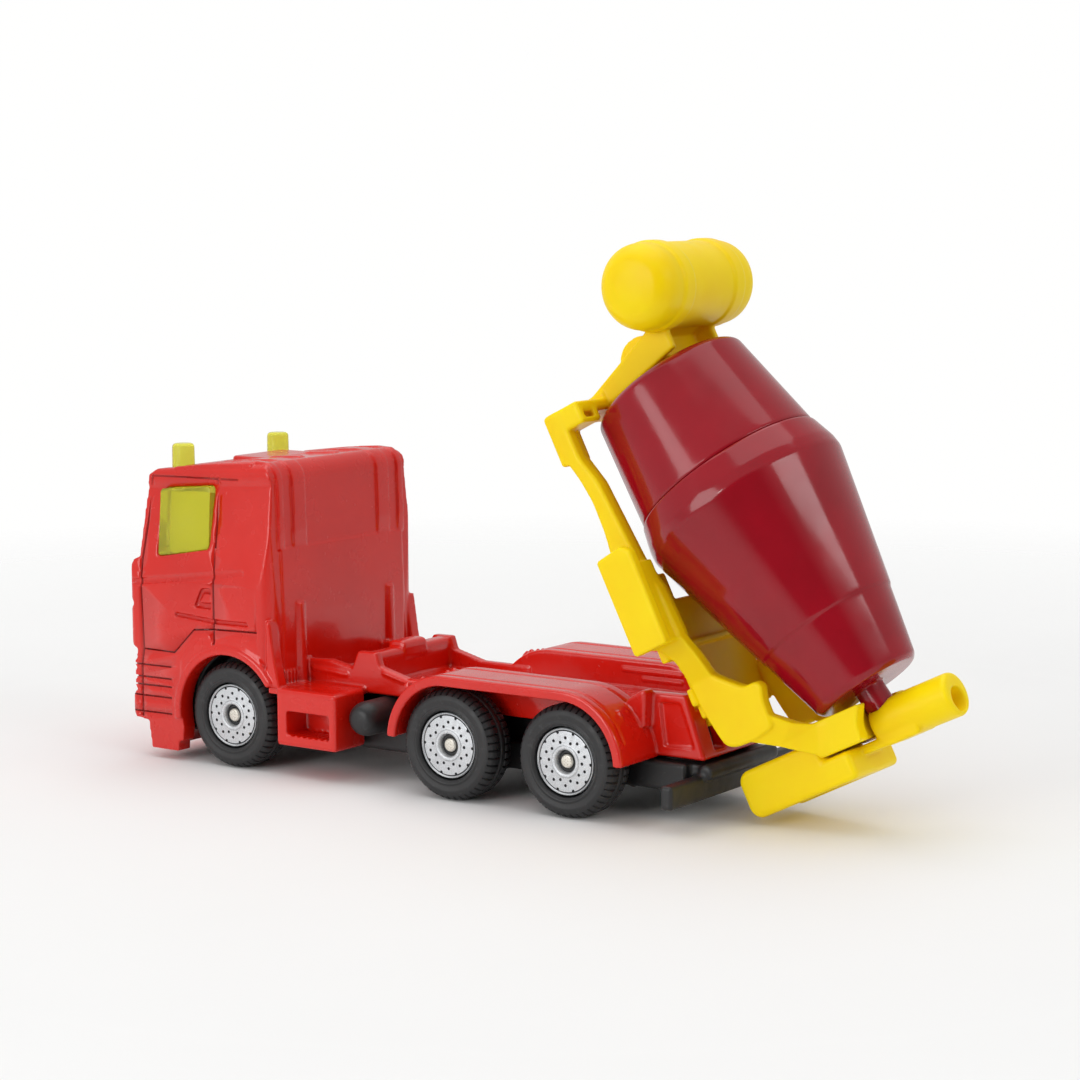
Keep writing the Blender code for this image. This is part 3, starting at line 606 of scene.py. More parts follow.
def step_box(side):
    outline = [(STEP_FRONT_X, 3.4), (STEP_BACK_X, 3.4), (STEP_BACK_X, PLATFORM_Z), (STEP_FRONT_X, PLATFORM_Z)]
    box = wing(side, outline, 7.6, CAB_HALF, 0.35)
    cut(box, [slab(side, (-35.5, -29.7), (9.4, 14.0), (4.5, 7.2), 0.25),
              slab(side, (-35.9, -29.6), (9.6, 12.1), (8.9, 11.0))])
    return [box] + [slab(side, (x, x + 0.35), (9.6, 12.6), (4.2, 4.7))
                    for x in (-35.3, -34.5, -33.7, -32.9, -32.1, -31.3, -30.5)]


def chassis_rail(side):
    outline = [(CAB_BACK_X - 0.5, DECK_LOW_Z + 0.1), (CAB_BACK_X - 0.5, 11.9), (-34.0, 12.1), (-31.0, 11.5),
               (-30.2, CROSS_TOP_Z), (-27.75, CROSS_TOP_Z + 0.05), (-27.25, 11.95), (-23.5, 11.0),
               (-17.0, 11.0), (-17.0, DECK_LOW_Z + 0.1)]
    solids = [wing(side, outline, CHANNEL_HALF - 0.1, CHANNEL_HALF + 0.95, 0.18)]
    for a, b, width in (((-26.6, 11.35), (-24.0, 10.7), 0.34), ((-24.0, 10.7), (-22.2, 10.6), 0.34),
                        ((-36.2, 11.0), (-31.6, 10.7), 0.4)):
        solids.append(wing(side, capsule(a, b, width), CHANNEL_HALF + 0.8, CHANNEL_HALF + 1.15))
    return solids


def cross_bar():
    top, rise_top = CROSS_TOP_Z - 0.1, CROSS_TOP_Z + 0.55
    bar = rounded([(-29.95, 9.3), (-29.95, top), (-27.85, top), (-27.85, 9.3)], 0.7)
    rise = rounded([(-30.05, 11.6), (-30.05, rise_top), (-27.75, rise_top), (-27.75, 11.6)], 0.75)
    return [side_plate(bar, -CHANNEL_HALF, CHANNEL_HALF), side_plate(rise, -2.0, 2.0, 0.2),
            side_plate(bar, -CHANNEL_HALF - 0.1, -CHANNEL_HALF + 0.7),
            block((-34.6, -4.6, DECK_Z - 0.3), (-34.2, 4.6, DECK_Z + 0.5), 0.12),
            block((-36.6, -2.6, DECK_Z - 0.3), (-31.2, -2.2, DECK_Z + 0.5), 0.12),
            block((-36.6, 2.2, DECK_Z - 0.3), (-31.2, 2.6, DECK_Z + 0.5), 0.12)]


def fender_band(radius, toe_deg, steps=20):
    return (arc((AXLE_X["rear"], AXLE_Z), radius, toe_deg, 90, steps)
            + arc((AXLE_X["middle"], AXLE_Z), radius, 90, 180 - toe_deg, steps))


def fender(side):
    """The guard over both rear wheels: curved top with two grooves, lip and inner wall."""
    outer = fender_band(FENDER_R, 2.5)
    inner = fender_band(FENDER_R - 0.85, 2.5)
    guard = side_plate(outer + inner[::-1], *span(side, CHANNEL_HALF, FENDER_HALF), 0.22)
    channel = fender_band(FENDER_R + 1.0, 20) + fender_band(FENDER_R - 0.2, 20)[::-1]
    cut(guard, [wing(side, channel, near, near + 0.42, 0.1) for near in (CHANNEL_HALF + 1.25, 11.6)])
    lip = fender_band(FENDER_R - 0.35, 2.5) + fender_band(FENDER_R - 1.05, 2.5)[::-1]
    solids = [guard, wing(side, lip, FENDER_HALF - 0.7, FENDER_HALF - 0.02, 0.18)]
    wall = fender_band(FENDER_R - 0.2, 24) + [(-20.0, DECK_LOW_Z - 0.4), (5.5, DECK_LOW_Z - 0.4)]
    solids.append(wing(side, wall, CHANNEL_HALF, CHANNEL_HALF + 1.1))
    for z, length in ((11.9, 8.0), (11.1, 5.5)):
        solids.append(wing(side, capsule((3.0 - length, z), (2.2, z), 0.34), CHANNEL_HALF - 0.22, 6.8))
    horn = [(4.6, 10.0), (6.75, 9.2), (6.9, 13.02), (6.35, 12.98), (5.3, 12.3), (4.6, 11.8)]
    solids.append(wing(side, horn, 6.4, 8.1, 0.25))
    for x, y, z, size in ((-19.3, 12.1, 11.75, 0.42), (-18.8, 10.4, 12.0, 0.38), (-19.0, 8.6, 11.55, 0.42),
                          (-18.0, 7.2, 12.3, 0.36), (-17.3, 7.0, 12.6, 0.34)):
        solids.append(rod((x - 0.5, side * y, z - 0.5), (x, side * y, z + 0.12), size, size * 0.7, 6))
    return solids + fender_tail(side)


def fender_tail(side):
    """The closed rear end of the guard with its run-down casting marks."""
    low, high = span(side, BLOCK_HALF - 0.1, FENDER_HALF - 0.75)
    centre = (AXLE_X["rear"], AXLE_Z)
    slab = arc(centre, FENDER_R - 0.1, 2.5, 52, 12) + arc(centre, FENDER_R - 0.8, 52, 2.5, 12)
    solids = [side_plate(slab, low, high)]
    for y, top, drop in ((11.4, 11.2, 1.6), (10.2, 11.6, 2.6), (9.4, 10.9, 1.3), (8.7, 11.4, 2.0)):
        reach = FENDER_R + 0.08
        start = (reach * cos(radians(47)), top)
        lean_x = start[0] + drop * 0.55
        solids.append(rod((start[0], side * y, top - 0.5), (lean_x - 0.1, side * (y - 0.2), top - 0.5 - drop),
                          0.3, 0.22, 12))
    return solids


def tail_block():
    """The narrow box behind the wheels that carries the hinge."""
    profile = [(5.2, 6.3), (12.85, 6.3), (10.6, 12.7), (5.6, 12.6)]
    body = side_plate(profile, -BLOCK_HALF, BLOCK_HALF, 0.3)
    hollow = [(4.0, 4.0), (11.9, 4.0), (9.2, 14.5), (4.0, 14.5)]
    cutters = [side_plate(hollow, -BLOCK_HALF + 1.1, BLOCK_HALF - 1.1)]
    for side in (-1, 1):
        low, high = span(side, 2.15, 4.15)
        cutters.append(block((6.4, low, 7.0), (16.0, high, 16.0)))
        panel = rounded([(7.6, 11.75), (10.0, 11.8), (11.7, 7.4), (8.2, 7.3)], 0.3)
        cutters.append(wing(side, panel, BLOCK_HALF - 0.28, BLOCK_HALF + 1.0))
    cutters.append(block((9.0, -BLOCK_HALF + 1.1, 11.0), (14.0, BLOCK_HALF - 1.1, 16.0)))
    return [cut(body, cutters)]


def make_casting(look):
    solids = make_cab()
    solids += sides(step_box) + sides(chassis_rail) + cross_bar() + sides(fender) + tail_block()
    solids.append(block((CAB_BACK_X - 0.7, -CAB_HALF + 0.4, PLATFORM_Z - 0.75),
                        (STEP_BACK_X - 0.4, CAB_HALF - 0.4, PLATFORM_Z + 0.05), 0.15))
    solids.append(block((STEP_BACK_X - 9.5, -CHANNEL_HALF - 0.6, DECK_LOW_Z),
                        (6.0, CHANNEL_HALF + 0.6, DECK_Z)))
    casting = cut(melt("cab_and_chassis", solids, FINE, 2), cab_seams())
    return place(casting, look, "truck", "red_paint", "body_casting")


def make_windows(look):
    """One clear moulding: roof sheet, flat panes and the two beacons."""
    side_y = CAB_HALF - WALL - 0.9
    roof = 30.6
    shell = side_plate([(-54.9, 20.5), (-54.2, roof - 0.4), (-44.0, roof), (-44.0, 20.5)], -side_y, side_y)
    cut(shell, [side_plate([(-54.0, 19.0), (-53.35, roof - 1.2), (-43.0, roof - 0.9), (-43.0, 19.0)],
                           -side_y + 0.9, side_y - 0.9)])
    pane = rounded([(-53.22, 29.92), (-46.08, 30.52), (-46.48, 23.78), (-53.82, 22.5)], 0.5)
    solids = []
    for side in (-1, 1):
        solids.append(wing(side, pane, side_y - 0.4, CAB_HALF - 0.5))
        cap = smooth_profile([(0, 0), (BEACON_R, 0), (BEACON_R * 0.95, 5.35), (0, 5.35)], 0.5, 6)
        solids.append(turned("beacon", cap, (BEACON_X, side * BEACON_Y, 29.2), (0, 0, 1), 64))
    screen = [(-56.05, 23.1), (-55.5, 29.9), (-54.1, 29.9), (-54.6, 23.1)]
    solids.append(side_plate(screen, -10.0, 10.0))
    glass = soften(join(shell, solids), 0.07, 2, 50.0)
    glass.name = "windows_and_beacons"
    return place(glass, look, "truck", "clear_yellow", "window_insert", sharp=30)


def make_base(look):
    """The black underside with bearings, air tanks and underrun bar."""
    low = BASE_LOW_Z
    front = AXLE_X["front"]
    arches = sides(lambda side: [rod((front, side * 8.0, AXLE_Z), (front, side * 14, AXLE_Z), ARCH_R)])
    floor = cut(block((-53.6, -10.4, 3.1), (-39.2, 10.4, 13.0), 0.3), arches)
    solids = [floor, block((-54.2, -7.4, low), (STEP_BACK_X - 8.9, 7.4, 8.2), 0.25),
              block((STEP_BACK_X - 9.5, -7.2, low), (11.0, 7.2, 5.9), 0.25),
              block((STEP_BACK_X - 9.2, -5.0, 5.0), (5.0, 5.0, DECK_LOW_Z - 0.2), 0.2),
              block((5.8, -5.2, 4.6), (10.9, 5.2, 7.4), 0.3),
              block((9.5, -3.2, 3.2), (12.2, 3.2, 5.2), 0.25),
              block((11.5, -12.6, 2.4), (12.8, 12.6, 4.8), 0.22)]
    tank = smooth_profile([(0, 0), (1.3, 0.15), (1.85, 1.1), (1.85, 22.9), (1.3, 23.85), (0, 24.0)], 0.7)
    solids.append(turned("air_tank", tank, (-26.4, -12.0, 7.0), (0, 1, 0), 48))
    tube = smooth_profile([(0, 0), (0.82, 0), (0.82, 13.2), (0, 13.2)], 0.35)
    solids.append(turned("tail_tube", tube, (12.9, -6.6, 5.15), (0, 1, 0), 32))
    solids.append(block((9.8, -6.2, 4.45), (12.9, 6.2, 5.85), 0.2))
    for x in (-49.0, -38.0, -21.5, -11.0, -3.6, 4.6):
        solids.append(block((x - 0.3, -6.9, low - 0.18), (x + 0.3, 6.9, low + 0.3), 0.12))
    for x in AXLE_X.values():
        for side in (-1, 1):
            solids.append(rod((x, side * 5.2, AXLE_Z), (x, side * 8.2, AXLE_Z), 1.35))
    for x in RIVET_X:
        ring = smooth_profile([(1.95, 0), (2.5, 0), (2.5, 0.5), (1.95, 0.5)], 0.1)
        solids.append(turned("rivet_ring", ring, (x, 0, low - 0.15), (0, 0, 1), 48))
    cutters = [rod((x, -14, AXLE_Z), (x, 14, AXLE_Z), 0.84, None, 32) for x in AXLE_X.values()]
    cutters += [block((x - 0.5, -14, 1.0), (x + 0.5, 14, AXLE_Z)) for x in AXLE_X.values()]
    cutters += [rod((x, 0, 1.0), (x, 0, 4.4), 1.9) for x in RIVET_X]
    solids = [cut(thing, copies(cutters)) for thing in solids]
    base = melt("base_plate_moulding", solids, FINE + 0.04, 3, 150000)
    discard(cutters)
    return place(base, look, "truck", "black_plastic", "base_plate")


def copies(things):
    """Fresh copies of some tools, so that one set can be used again."""
    fresh = []
    for thing in things:
        twin = thing.copy()
        twin.data = thing.data.copy()
        bpy.context.scene.collection.objects.link(twin)
        fresh.append(twin)
    return fresh


def make_rivets(look):
    head = smooth_profile([(0, 0.1), (0.7, 0.0), (1.1, 0.1), (1.7, 0.5), (1.7, 1.2), (0, 1.2)], 0.15)
    for word, x in zip(("front", "rear"), RIVET_X):
        rivet = turned(word + "_rivet_head", head, (x, 0, BASE_LOW_Z - 0.1), (0, 0, 1), 64)
        place(rivet, look, "truck", "steel", word + "_rivet", sharp=40)


def make_hinge_pin(look):
    pin = smooth_profile([(0, 0), (0.75, 0), (0.75, 12.0), (0, 12.0)], 0.15)
    bar = turned("tipping_pin", pin, (HINGE_X, -6.0, HINGE_Z), (0, 1, 0), 64)
    place(bar, look, "truck", "steel", "hinge_pin", sharp=40)

# ------------------------------------------------------------- the wheels

WHEEL_FACE_Y = 12.45
TREAD_BLOCKS = 44
DISC_R = 3.4
DISC_HOLE_R = 1.15
DOT_RINGS = ((3.02, 0.0), (2.42, 18.0), (1.98, 0.0))
DOTS = 10
DOT_R = 0.165


def tyre_mesh():
    """One wheel about its own centre, with its outer face towards +Y."""
    profile = [(0.82, 0.9), (1.15, 0.9), (1.15, 1.45), (3.6, 1.45), (3.6, 0.25), (3.95, 0.02), (4.15, 0.14),
               (4.75, 0.02), (5.2, 0.16), (5.55, 0.5), (5.75, 0.95), (5.75, 1.55), (5.6, 1.62), (5.6, 1.82),
               (5.75, 1.9), (5.75, 2.35), (5.6, 2.42), (5.6, 2.6), (5.75, 2.68), (5.75, 3.2), (5.5, 3.75),
               (4.9, 4.0), (0.82, 4.0)]
    steps = TREAD_BLOCKS * 6
    wheel = turned("tyre", smooth_profile(profile, 0.14, 3), (0, 0, 0), (0, 1, 0), steps)
    mesh = wheel.data
    mesh.transform(Matrix.Translation(-world(0, 0, 0)))
    for vert in mesh.vertices:
        radius = hypot(vert.co.x, vert.co.z) / MM
        depth = vert.co.y / MM
        turn = atan2(vert.co.z, vert.co.x) / (2 * pi) * TREAD_BLOCKS
        shift = 0.0 if depth < 2.1 else 0.5
        gap = abs((turn + shift) % 1.0 - 0.5)
        on_shoulder = radius > 5.25 and (depth < 1.75 or depth > 2.5)
        if gap > 0.36 and on_shoulder:
            dip = 0.2 * min(1.0, (gap - 0.36) / 0.06)
            vert.co.x *= 1.0 - dip / radius
            vert.co.z *= 1.0 - dip / radius
    for vert in mesh.vertices:
        vert.co.y = WHEEL_FACE_Y * MM - vert.co.y
    mesh.flip_normals()
    discard([wheel])
    return mesh


def disc_mesh():
    """One printed disc with its rings of small round pits, outer face towards +Y."""
    face = 0.35
    profile = [(DISC_HOLE_R, 0.3), (DISC_HOLE_R + 0.12, 0.02), (1.55, 0.0), (1.66, 0.12), (3.08, 0.12),
               (3.16, 0.2), (3.22, 0.12), (3.32, 0.0), (DISC_R, 0.08), (DISC_R, 0.8), (DISC_HOLE_R, 0.8)]
    disc = turned("disc", smooth_profile(profile, 0.05, 2), (0, 0, 0), (0, 1, 0), 128)
    pits = []
    for radius, offset in DOT_RINGS:
        for k in range(DOTS):
            angle = radians(offset + 360 * k / DOTS)
            x, z = radius * cos(angle), radius * sin(angle)
            pits.append(rod((x, -0.5, z), (x, 0.24, z), DOT_R, None, 14))
    cut(disc, pits)
    mesh = disc.data
    mesh.transform(Matrix.Translation(-world(0, 0, 0)))
    for vert in mesh.vertices:
        vert.co.y = (WHEEL_FACE_Y - face) * MM - vert.co.y
    mesh.flip_normals()
    discard([disc])
    return mesh


def mark_pits(mesh):
    """The pits' walls and floors take the second material."""
    for face in mesh.polygons:
        depth = (WHEEL_FACE_Y - 0.35) - face.center.y / MM
        radius = hypot(face.center.x, face.center.z) / MM
        near = min(abs(radius - ring) for ring, _ in DOT_RINGS)
        face.material_index = 1 if near < DOT_R + 0.02 and 0.125 < depth < 0.3 else 0


def mirrored(mesh):
    twin = mesh.copy()
    twin.transform(Matrix.Scale(-1, 4, (0, 1, 0)))
    twin.flip_normals()
    return twin


def make_wheels(tyre_look, disc_look, pit_look, steel_look):
    tyre, disc = tyre_mesh(), disc_mesh()
    mark_pits(disc)
    for mesh, looks in ((tyre, [tyre_look]), (disc, [disc_look, pit_look])):
        for look in looks:
            mesh.materials.append(look)
        mesh.shade_smooth()
        mesh.set_sharp_from_angle(angle=radians(38))
    meshes = {"right": (tyre, disc), "left": (mirrored(tyre), mirrored(disc))}
    axle = smooth_profile([(0, 0), (0.6, 0.02), (0.74, 0.2), (0.74, 23.5), (0.6, 23.68), (0, 23.7)], 0.06)
    for place_name, centre in AXLES.items():
        body = place_name + "_wheels"
        bar = turned(place_name + "_axle_bar", axle, (AXLE_X[place_name], -11.85, AXLE_Z), (0, 1, 0), 48)
        bar.data.transform(Matrix.Translation(-centre))
        bar.location = centre
        place(bar, steel_look, body, "steel", place_name + "_axle", sharp=40)
        for word, pair in meshes.items():
            for mesh, kind, slot, node in zip(pair, ("wheel", "wheel_disc"), ("tyre", "silver_disc"),
                                              ("tyre", "disc")):
                piece = new_object(f"{place_name}_{word}_{kind}", mesh)
                piece.location = centre
                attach(piece, body)
                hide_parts(f"{place_name}_{word}_{node}")


# ------------------------------------------------------------- the mixer


def drum_point(along):
    return tuple(DRUM_START + DRUM_AXIS * along)


def rail_outline():
    """One side of the frame from its foot to the end of the locker, seen from the side."""
    belly = [(-20.6, 12.15), (-19.8, 12.5), (-18.6, 12.95), (-17.0, 13.4), (-14.4, 13.8), (-11.0, 13.7),
             (-8.6, REST_Z)]
    return rounded([(-24.3, 12.05)] + belly + [
        (1.4, REST_Z), (1.4, 17.4), (-4.0, 17.2), (-7.5, 16.2), (-16.0, 15.4), (-19.0, 14.4),
        (-24.3, 14.4)], 0.7, 4)


def ledge_outline():
    """The thicker inner edge of the rail, a little lower than the rail."""
    return [
        (-24.0, 12.3), (-20.6, 12.35), (-18.8, 13.0), (-17.2, 13.6), (-14.4, 14.0), (-11.0, 13.9),
        (-8.6, 13.6), (1.2, 13.6), (1.2, 17.1), (-4.0, 16.9), (-7.5, 15.9), (-16.0, 15.1), (-19.0, 14.2), (-24.0, 14.2)]


def lug(side):
    """The plate beside the hinge, with a peak at its top."""
    outline = rounded([(5.0, 14.3), (7.8, 14.4), (10.8, 15.0), (12.4, 15.4), (13.0, 16.4), (13.1, 19.0),
                       (12.6, 21.3), (9.9, 21.4), (8.5, 21.9), (7.9, 21.4), (7.9, 19.9), (6.2, 17.8),
                       (5.0, 16.6)], 0.5, 4)
    return [wing(side, outline, LUG_INNER, LUG_OUTER, 0.3, 4)]


def side_box(side):
    """The locker on the rail: a tall face with a lower body behind it."""
    outline = rounded([(-8.6, REST_Z), (1.45, REST_Z), (1.45, 17.4), (-8.2, 17.5), (-8.95, 16.6)], 0.35, 4)
    body = [(-7.1, REST_Z + 0.3), (1.3, REST_Z + 0.3), (1.3, 17.05), (-7.1, 16.9)]
    return [wing(side, outline, BOX_OUTER - 1.3, BOX_OUTER, 0.25, 4),
            wing(side, body, RAIL_INNER + 0.1, BOX_OUTER - 0.9, 0.15)]


def neck(side):
    """The bend that brings the rail in from the locker to the lug."""
    return [bent_bar([(10.15, 8.75, (0.9, 17.3), (0.9, 13.95)), (8.9, 7.4, (3.1, 17.35), (3.1, 14.8)),
                      (7.25, 5.85, (5.7, 17.1), (5.7, 14.4))], side)]


def arm(side):
    """The bent arm from the lug up and in to the rear bearing."""
    return [bent_bar([(7.25, 5.85, (11.2, 21.1), (12.8, 17.8)), (6.3, 4.85, (13.0, 22.9), (14.6, 20.6)),
                      (5.05, 4.75, (14.0, 24.6), (16.9, 23.6)),
                      (4.85, 4.0, (14.5, 26.5), (17.0, 25.0))], side)]


def ear(side):
    low, high = span(side, 2.5, 3.8)
    outline = arc((HINGE_X, HINGE_Z), 1.55, 180, 360, 20) + [(HINGE_X + 1.55, 14.0), (HINGE_X - 1.55, 14.0)]
    lobe = side_plate(outline, low, high, 0.15)
    return [cut(lobe, [rod((HINGE_X, side * 1.5, HINGE_Z), (HINGE_X, side * 5.0, HINGE_Z), 0.87)])]


def pylon():
    """The leaning plate under the tank, with flanges at its edges and a hollow back."""
    foot, head = Vector((-24.9, 14.6)), Vector((-29.0, 26.0))
    lean_by = (head.x - foot.x) / (head.y - foot.y)
    web = [tuple(foot), (foot.x + 0.9, foot.y), (head.x + 0.9, head.y), tuple(head)]
    solids = [side_plate(web, -PYLON_HALF, PYLON_HALF, 0.2)]
    toe = [(-24.95, 14.3), (-24.95, 16.5), (-23.2, 16.4), (-23.2, 14.0), (-24.1, 13.9)]
    solids.append(side_plate(toe, -PYLON_HALF - 0.2, PYLON_HALF + 0.2, 0.2))
    flange = [(foot.x + 0.5 + lean_by * 1.2, foot.y + 1.2), (-23.2, foot.y + 1.2), (-25.35, head.y - 0.1),
              (head.x + 0.5, head.y - 0.1)]
    solids += sides(lambda side: [wing(side, flange, PYLON_HALF - 0.8, PYLON_HALF, 0.2)])
    rib = [(-27.5, 23.0), (-25.2, 23.0), (-25.3, 23.7), (-27.7, 23.7)]
    solids.append(side_plate(rib, -PYLON_HALF + 0.3, PYLON_HALF - 0.3, 0.1))
    solids.append(cut(side_plate(arc(drum_point(-2.6)[::2], 2.7, 0, 360, 32), -2.2, 2.2, 0.2),
                      [rod(drum_point(-9.0), drum_point(3.0), 2.02)]))
    return solids


def tank():
    """The water tank: domed ends and two broad bands."""
    half = [(0, 0), (1.6, 0.06), (2.9, 0.35), (TANK_R - 0.7, 0.85), (TANK_R - 0.15, 1.6), (TANK_R, 2.4),
            (TANK_R, 3.55), (TANK_R + 0.22, 3.7), (TANK_R + 0.22, 5.35), (TANK_R, 5.5)]
    length = 2 * TANK_HALF
    whole = half + [(r, length - y) for r, y in half[::-1]]
    return turned("tank", smooth_profile(whole, 0.35, 4), (TANK_X, -TANK_HALF, TANK_Z), (0, 1, 0), 160)


def rear_bearing():
    """The block behind the drum's mouth: two cheeks, a web and the shaft's seat."""
    cheek = rounded([(13.7, 23.4), (17.15, 23.4), (17.15, 28.4), (15.4, 28.6), (13.75, 29.6)], 0.4)
    solids = sides(lambda side: [wing(side, cheek, POST_HALF - 1.6, POST_HALF, 0.35)])
    web = [(14.6, 23.5), (17.1, 23.5), (17.1, 27.75), (13.9, 27.75), (13.9, 26.6), (14.6, 26.3)]
    block_web = side_plate(web, -POST_HALF + 0.8, POST_HALF - 0.8, 0.2)
    solids.append(cut(block_web, [rod(drum_point(DRUM_LENGTH - 0.5), drum_point(DRUM_LENGTH + 5.5), 1.62)]))
    return solids


def floor_plate():
    """The plate between the rails and the narrower one over the hinge."""
    low, top = REST_Z + 0.1, 14.4
    solids = [block((-3.2, -RAIL_INNER - 0.4, low), (2.8, RAIL_INNER + 0.4, top), 0.2),
              block((2.5, -6.2, low), (9.1, 6.2, top), 0.2), block((5.9, -7.0, low), (7.7, 7.0, top), 0.2),
              block((1.3, -RAIL_INNER, low), (1.9, RAIL_INNER, top + 0.55), 0.15)]
    for near, far in (span(-1, 3.6, RAIL_INNER + 0.3), span(1, 3.6, RAIL_INNER + 0.3)):
        solids.append(block((-6.0, near, low), (-3.0, far, top), 0.2))
    return solids


def corner(side):
    """The block at the frame's front corner, hollowed on top."""
    low, high = span(side, 6.8, RAIL_OUTER - 0.02)
    foot = block((-24.2, low, 12.1), (-18.9, high, 13.6), 0.25)
    post = block((-24.28, low, 12.2), (-22.0, high, 16.55), 0.3)
    well_low, well_high = span(side, 7.7, 9.4)
    cut(post, [block((-23.6, well_low, 15.6), (-22.5, well_high, 18.0), 0.15)])
    return [foot, post]


def make_frame(look):
    rails = sides(lambda side: [wing(side, rail_outline(), RAIL_INNER, RAIL_OUTER, 0.3, 4),
                                wing(side, ledge_outline(), LEDGE_INNER, RAIL_INNER + 0.2, 0.25)])
    solids = rails + floor_plate() + pylon() + rear_bearing()
    solids.append(block((-24.28, -RAIL_OUTER + 0.05, 12.1), (-23.1, RAIL_OUTER - 0.05, 16.5), 0.3))
    for maker in (side_box, neck, lug, arm, ear, corner):
        solids += sides(maker)
    solids.append(tank())
    skin = tip(melt("mixer_frame_moulding", solids, FINE, 3))
    return place(skin, look, "mixer", "yellow_plastic", "mixer_frame")


def make_chute(look):
    """The discharge chute under the bearing and the hopper above it, one moulding."""
    half, front, back, low, top = 4.4, 15.3, 20.2, 13.3, 26.2
    step_x, step_z, corner_r = 17.35, 23.2, 1.3
    outline = (arc((front + corner_r, low + corner_r), corner_r, 180, 270, 10)
               + arc((back - corner_r, low + corner_r), corner_r, 270, 360, 10)
               + arc((back - 0.6, top - 0.6), 0.6, 0, 90, 6)
               + [(step_x, top), (step_x, step_z), (front, step_z)])
    trough = side_plate(outline, -half, half, 0.55, 5)
    groove = [(step_x + 1.0, low - 1), (back + 1, low - 1), (back + 1, top - 2.4), (step_x + 1.0, top - 3.4)]
    cut(trough, [side_plate(groove, -half + 0.9, half - 0.9, 0.4)])
    strap = [(step_x + 0.05, top - 1.5), (step_x + 0.85, top - 1.5), (18.5, 29.5), (18.5, 33.0), (16.7, 33.0),
             (16.7, 28.3), (step_x + 0.05, 28.3)]
    tube = turned("tube", smooth_profile([(0, 0), (2.15, 0), (2.2, 9.1), (0, 9.1)], 0.5), (16.2, 0, 28.2),
                  (0.016, 0, 1), 96)
    hollows = [rod((16.4, 0, 33.9), (17.0, 0, 38.3), 0.5, 1.55, 64),
               rod(drum_point(DRUM_LENGTH - 0.5), drum_point(DRUM_LENGTH + 4.1), 1.62)]
    solids = [trough, side_plate(strap, -1.9, 1.9, 0.35, 4), tube]
    for thing in solids[1:]:
        cut(thing, copies(hollows))
    discard(hollows)
    skin = tip(melt("hopper_and_chute_moulding", solids, FINE, 3, 120000))
    return place(skin, look, "mixer", "yellow_plastic", "hopper_and_chute")


def gate_mark(mesh, along, around, size):
    """Raises the small ring left by a moulding gate on a turned shell."""
    side_way = Vector((0, 1, 0))
    up_way = DRUM_AXIS.cross(side_way)
    out = side_way * cos(around) + up_way * sin(around)
    origin = world(*drum_point(0.0))
    for vert in mesh.vertices:
        offset = (vert.co - origin) / MM
        reach = offset.dot(DRUM_AXIS)
        spoke = offset - DRUM_AXIS * reach
        if spoke.length < 7.0 or spoke.dot(out) < 0:
            continue
        sideways = spoke.cross(out).length
        far = hypot(reach - along, sideways)
        if far < 3 * size:
            rise = 0.09 * exp(-((far - size) / (0.3 * size)) ** 2) + 0.05 * exp(-(far / (0.35 * size)) ** 2)
            vert.co += spoke.normalized() * rise * MM


def make_drum(look):
    """Two hollow mouldings that meet at a fine seam."""
    gap = 0.015
    front = [(0, -4.0), (1.6, -4.0), (1.9, -3.7), (1.9, 0), (7.6, 0), (8.3, 0.55),
             (SEAM_R - 0.12, SEAM_AT - 0.25), (SEAM_R - 0.17, SEAM_AT - gap), (SEAM_R - 1.4, SEAM_AT - gap), (7.1, 1.2), (0, 1.2)]
    fine = split(smooth_profile(front, 0.3, 5), 0.5)
    shell = turned("drum_front_moulding", fine, drum_point(0), DRUM_AXIS, 224)
    place(tip(shell), look, "drum", "maroon_plastic", "drum_front_shell", sharp=50)

    ring_at = DRUM_LENGTH - 7.4
    ring_r = WIDEST_R + (MOUTH_R - WIDEST_R) * (ring_at - WIDEST_AT) / (DRUM_LENGTH - WIDEST_AT)
    end = DRUM_LENGTH + 3.7
    back = [(0, DRUM_LENGTH - 1.2), (MOUTH_R - 1.2, DRUM_LENGTH - 1.2), (WIDEST_R - 1.4, WIDEST_AT),
            (SEAM_R - 1.4, SEAM_AT + gap), (SEAM_R - 0.08, SEAM_AT + gap), (SEAM_R + 0.1, SEAM_AT + 0.22),
            (WIDEST_R - 0.12, WIDEST_AT - 0.5), (WIDEST_R - 0.02, WIDEST_AT + 0.6),
            (ring_r + 0.13, ring_at - 0.1), (ring_r - 0.05, ring_at + 0.15),
            (MOUTH_R + 0.1, DRUM_LENGTH - 0.5), (MOUTH_R - 0.35, DRUM_LENGTH),
            (1.5, DRUM_LENGTH), (1.5, end - 0.3), (1.2, end), (0, end)]
    fine = split(smooth_profile(back, 0.28, 5), 0.3)
    cone = turned("drum_rear_moulding", fine, drum_point(0), DRUM_AXIS, 256)
    gate_mark(cone.data, WIDEST_AT + 1.9, radians(205), 0.42)
    gate_mark(cone.data, WIDEST_AT + 1.9, radians(25), 0.42)
    place(tip(cone), look, "drum", "maroon_plastic", "drum_rear_shell", sharp=50)


def split(path, step):
    """A path with points no further apart than a step."""
    fine = [path[0]]
    for a, b in zip(path, path[1:]):
        count = max(1, int(hypot(b[0] - a[0], b[1] - a[1]) / step))
        fine += [(a[0] + (b[0] - a[0]) * k / count, a[1] + (b[1] - a[1]) * k / count)
                 for k in range(1, count + 1)]
    return fine


# ------------------------------------------------------------- the materials


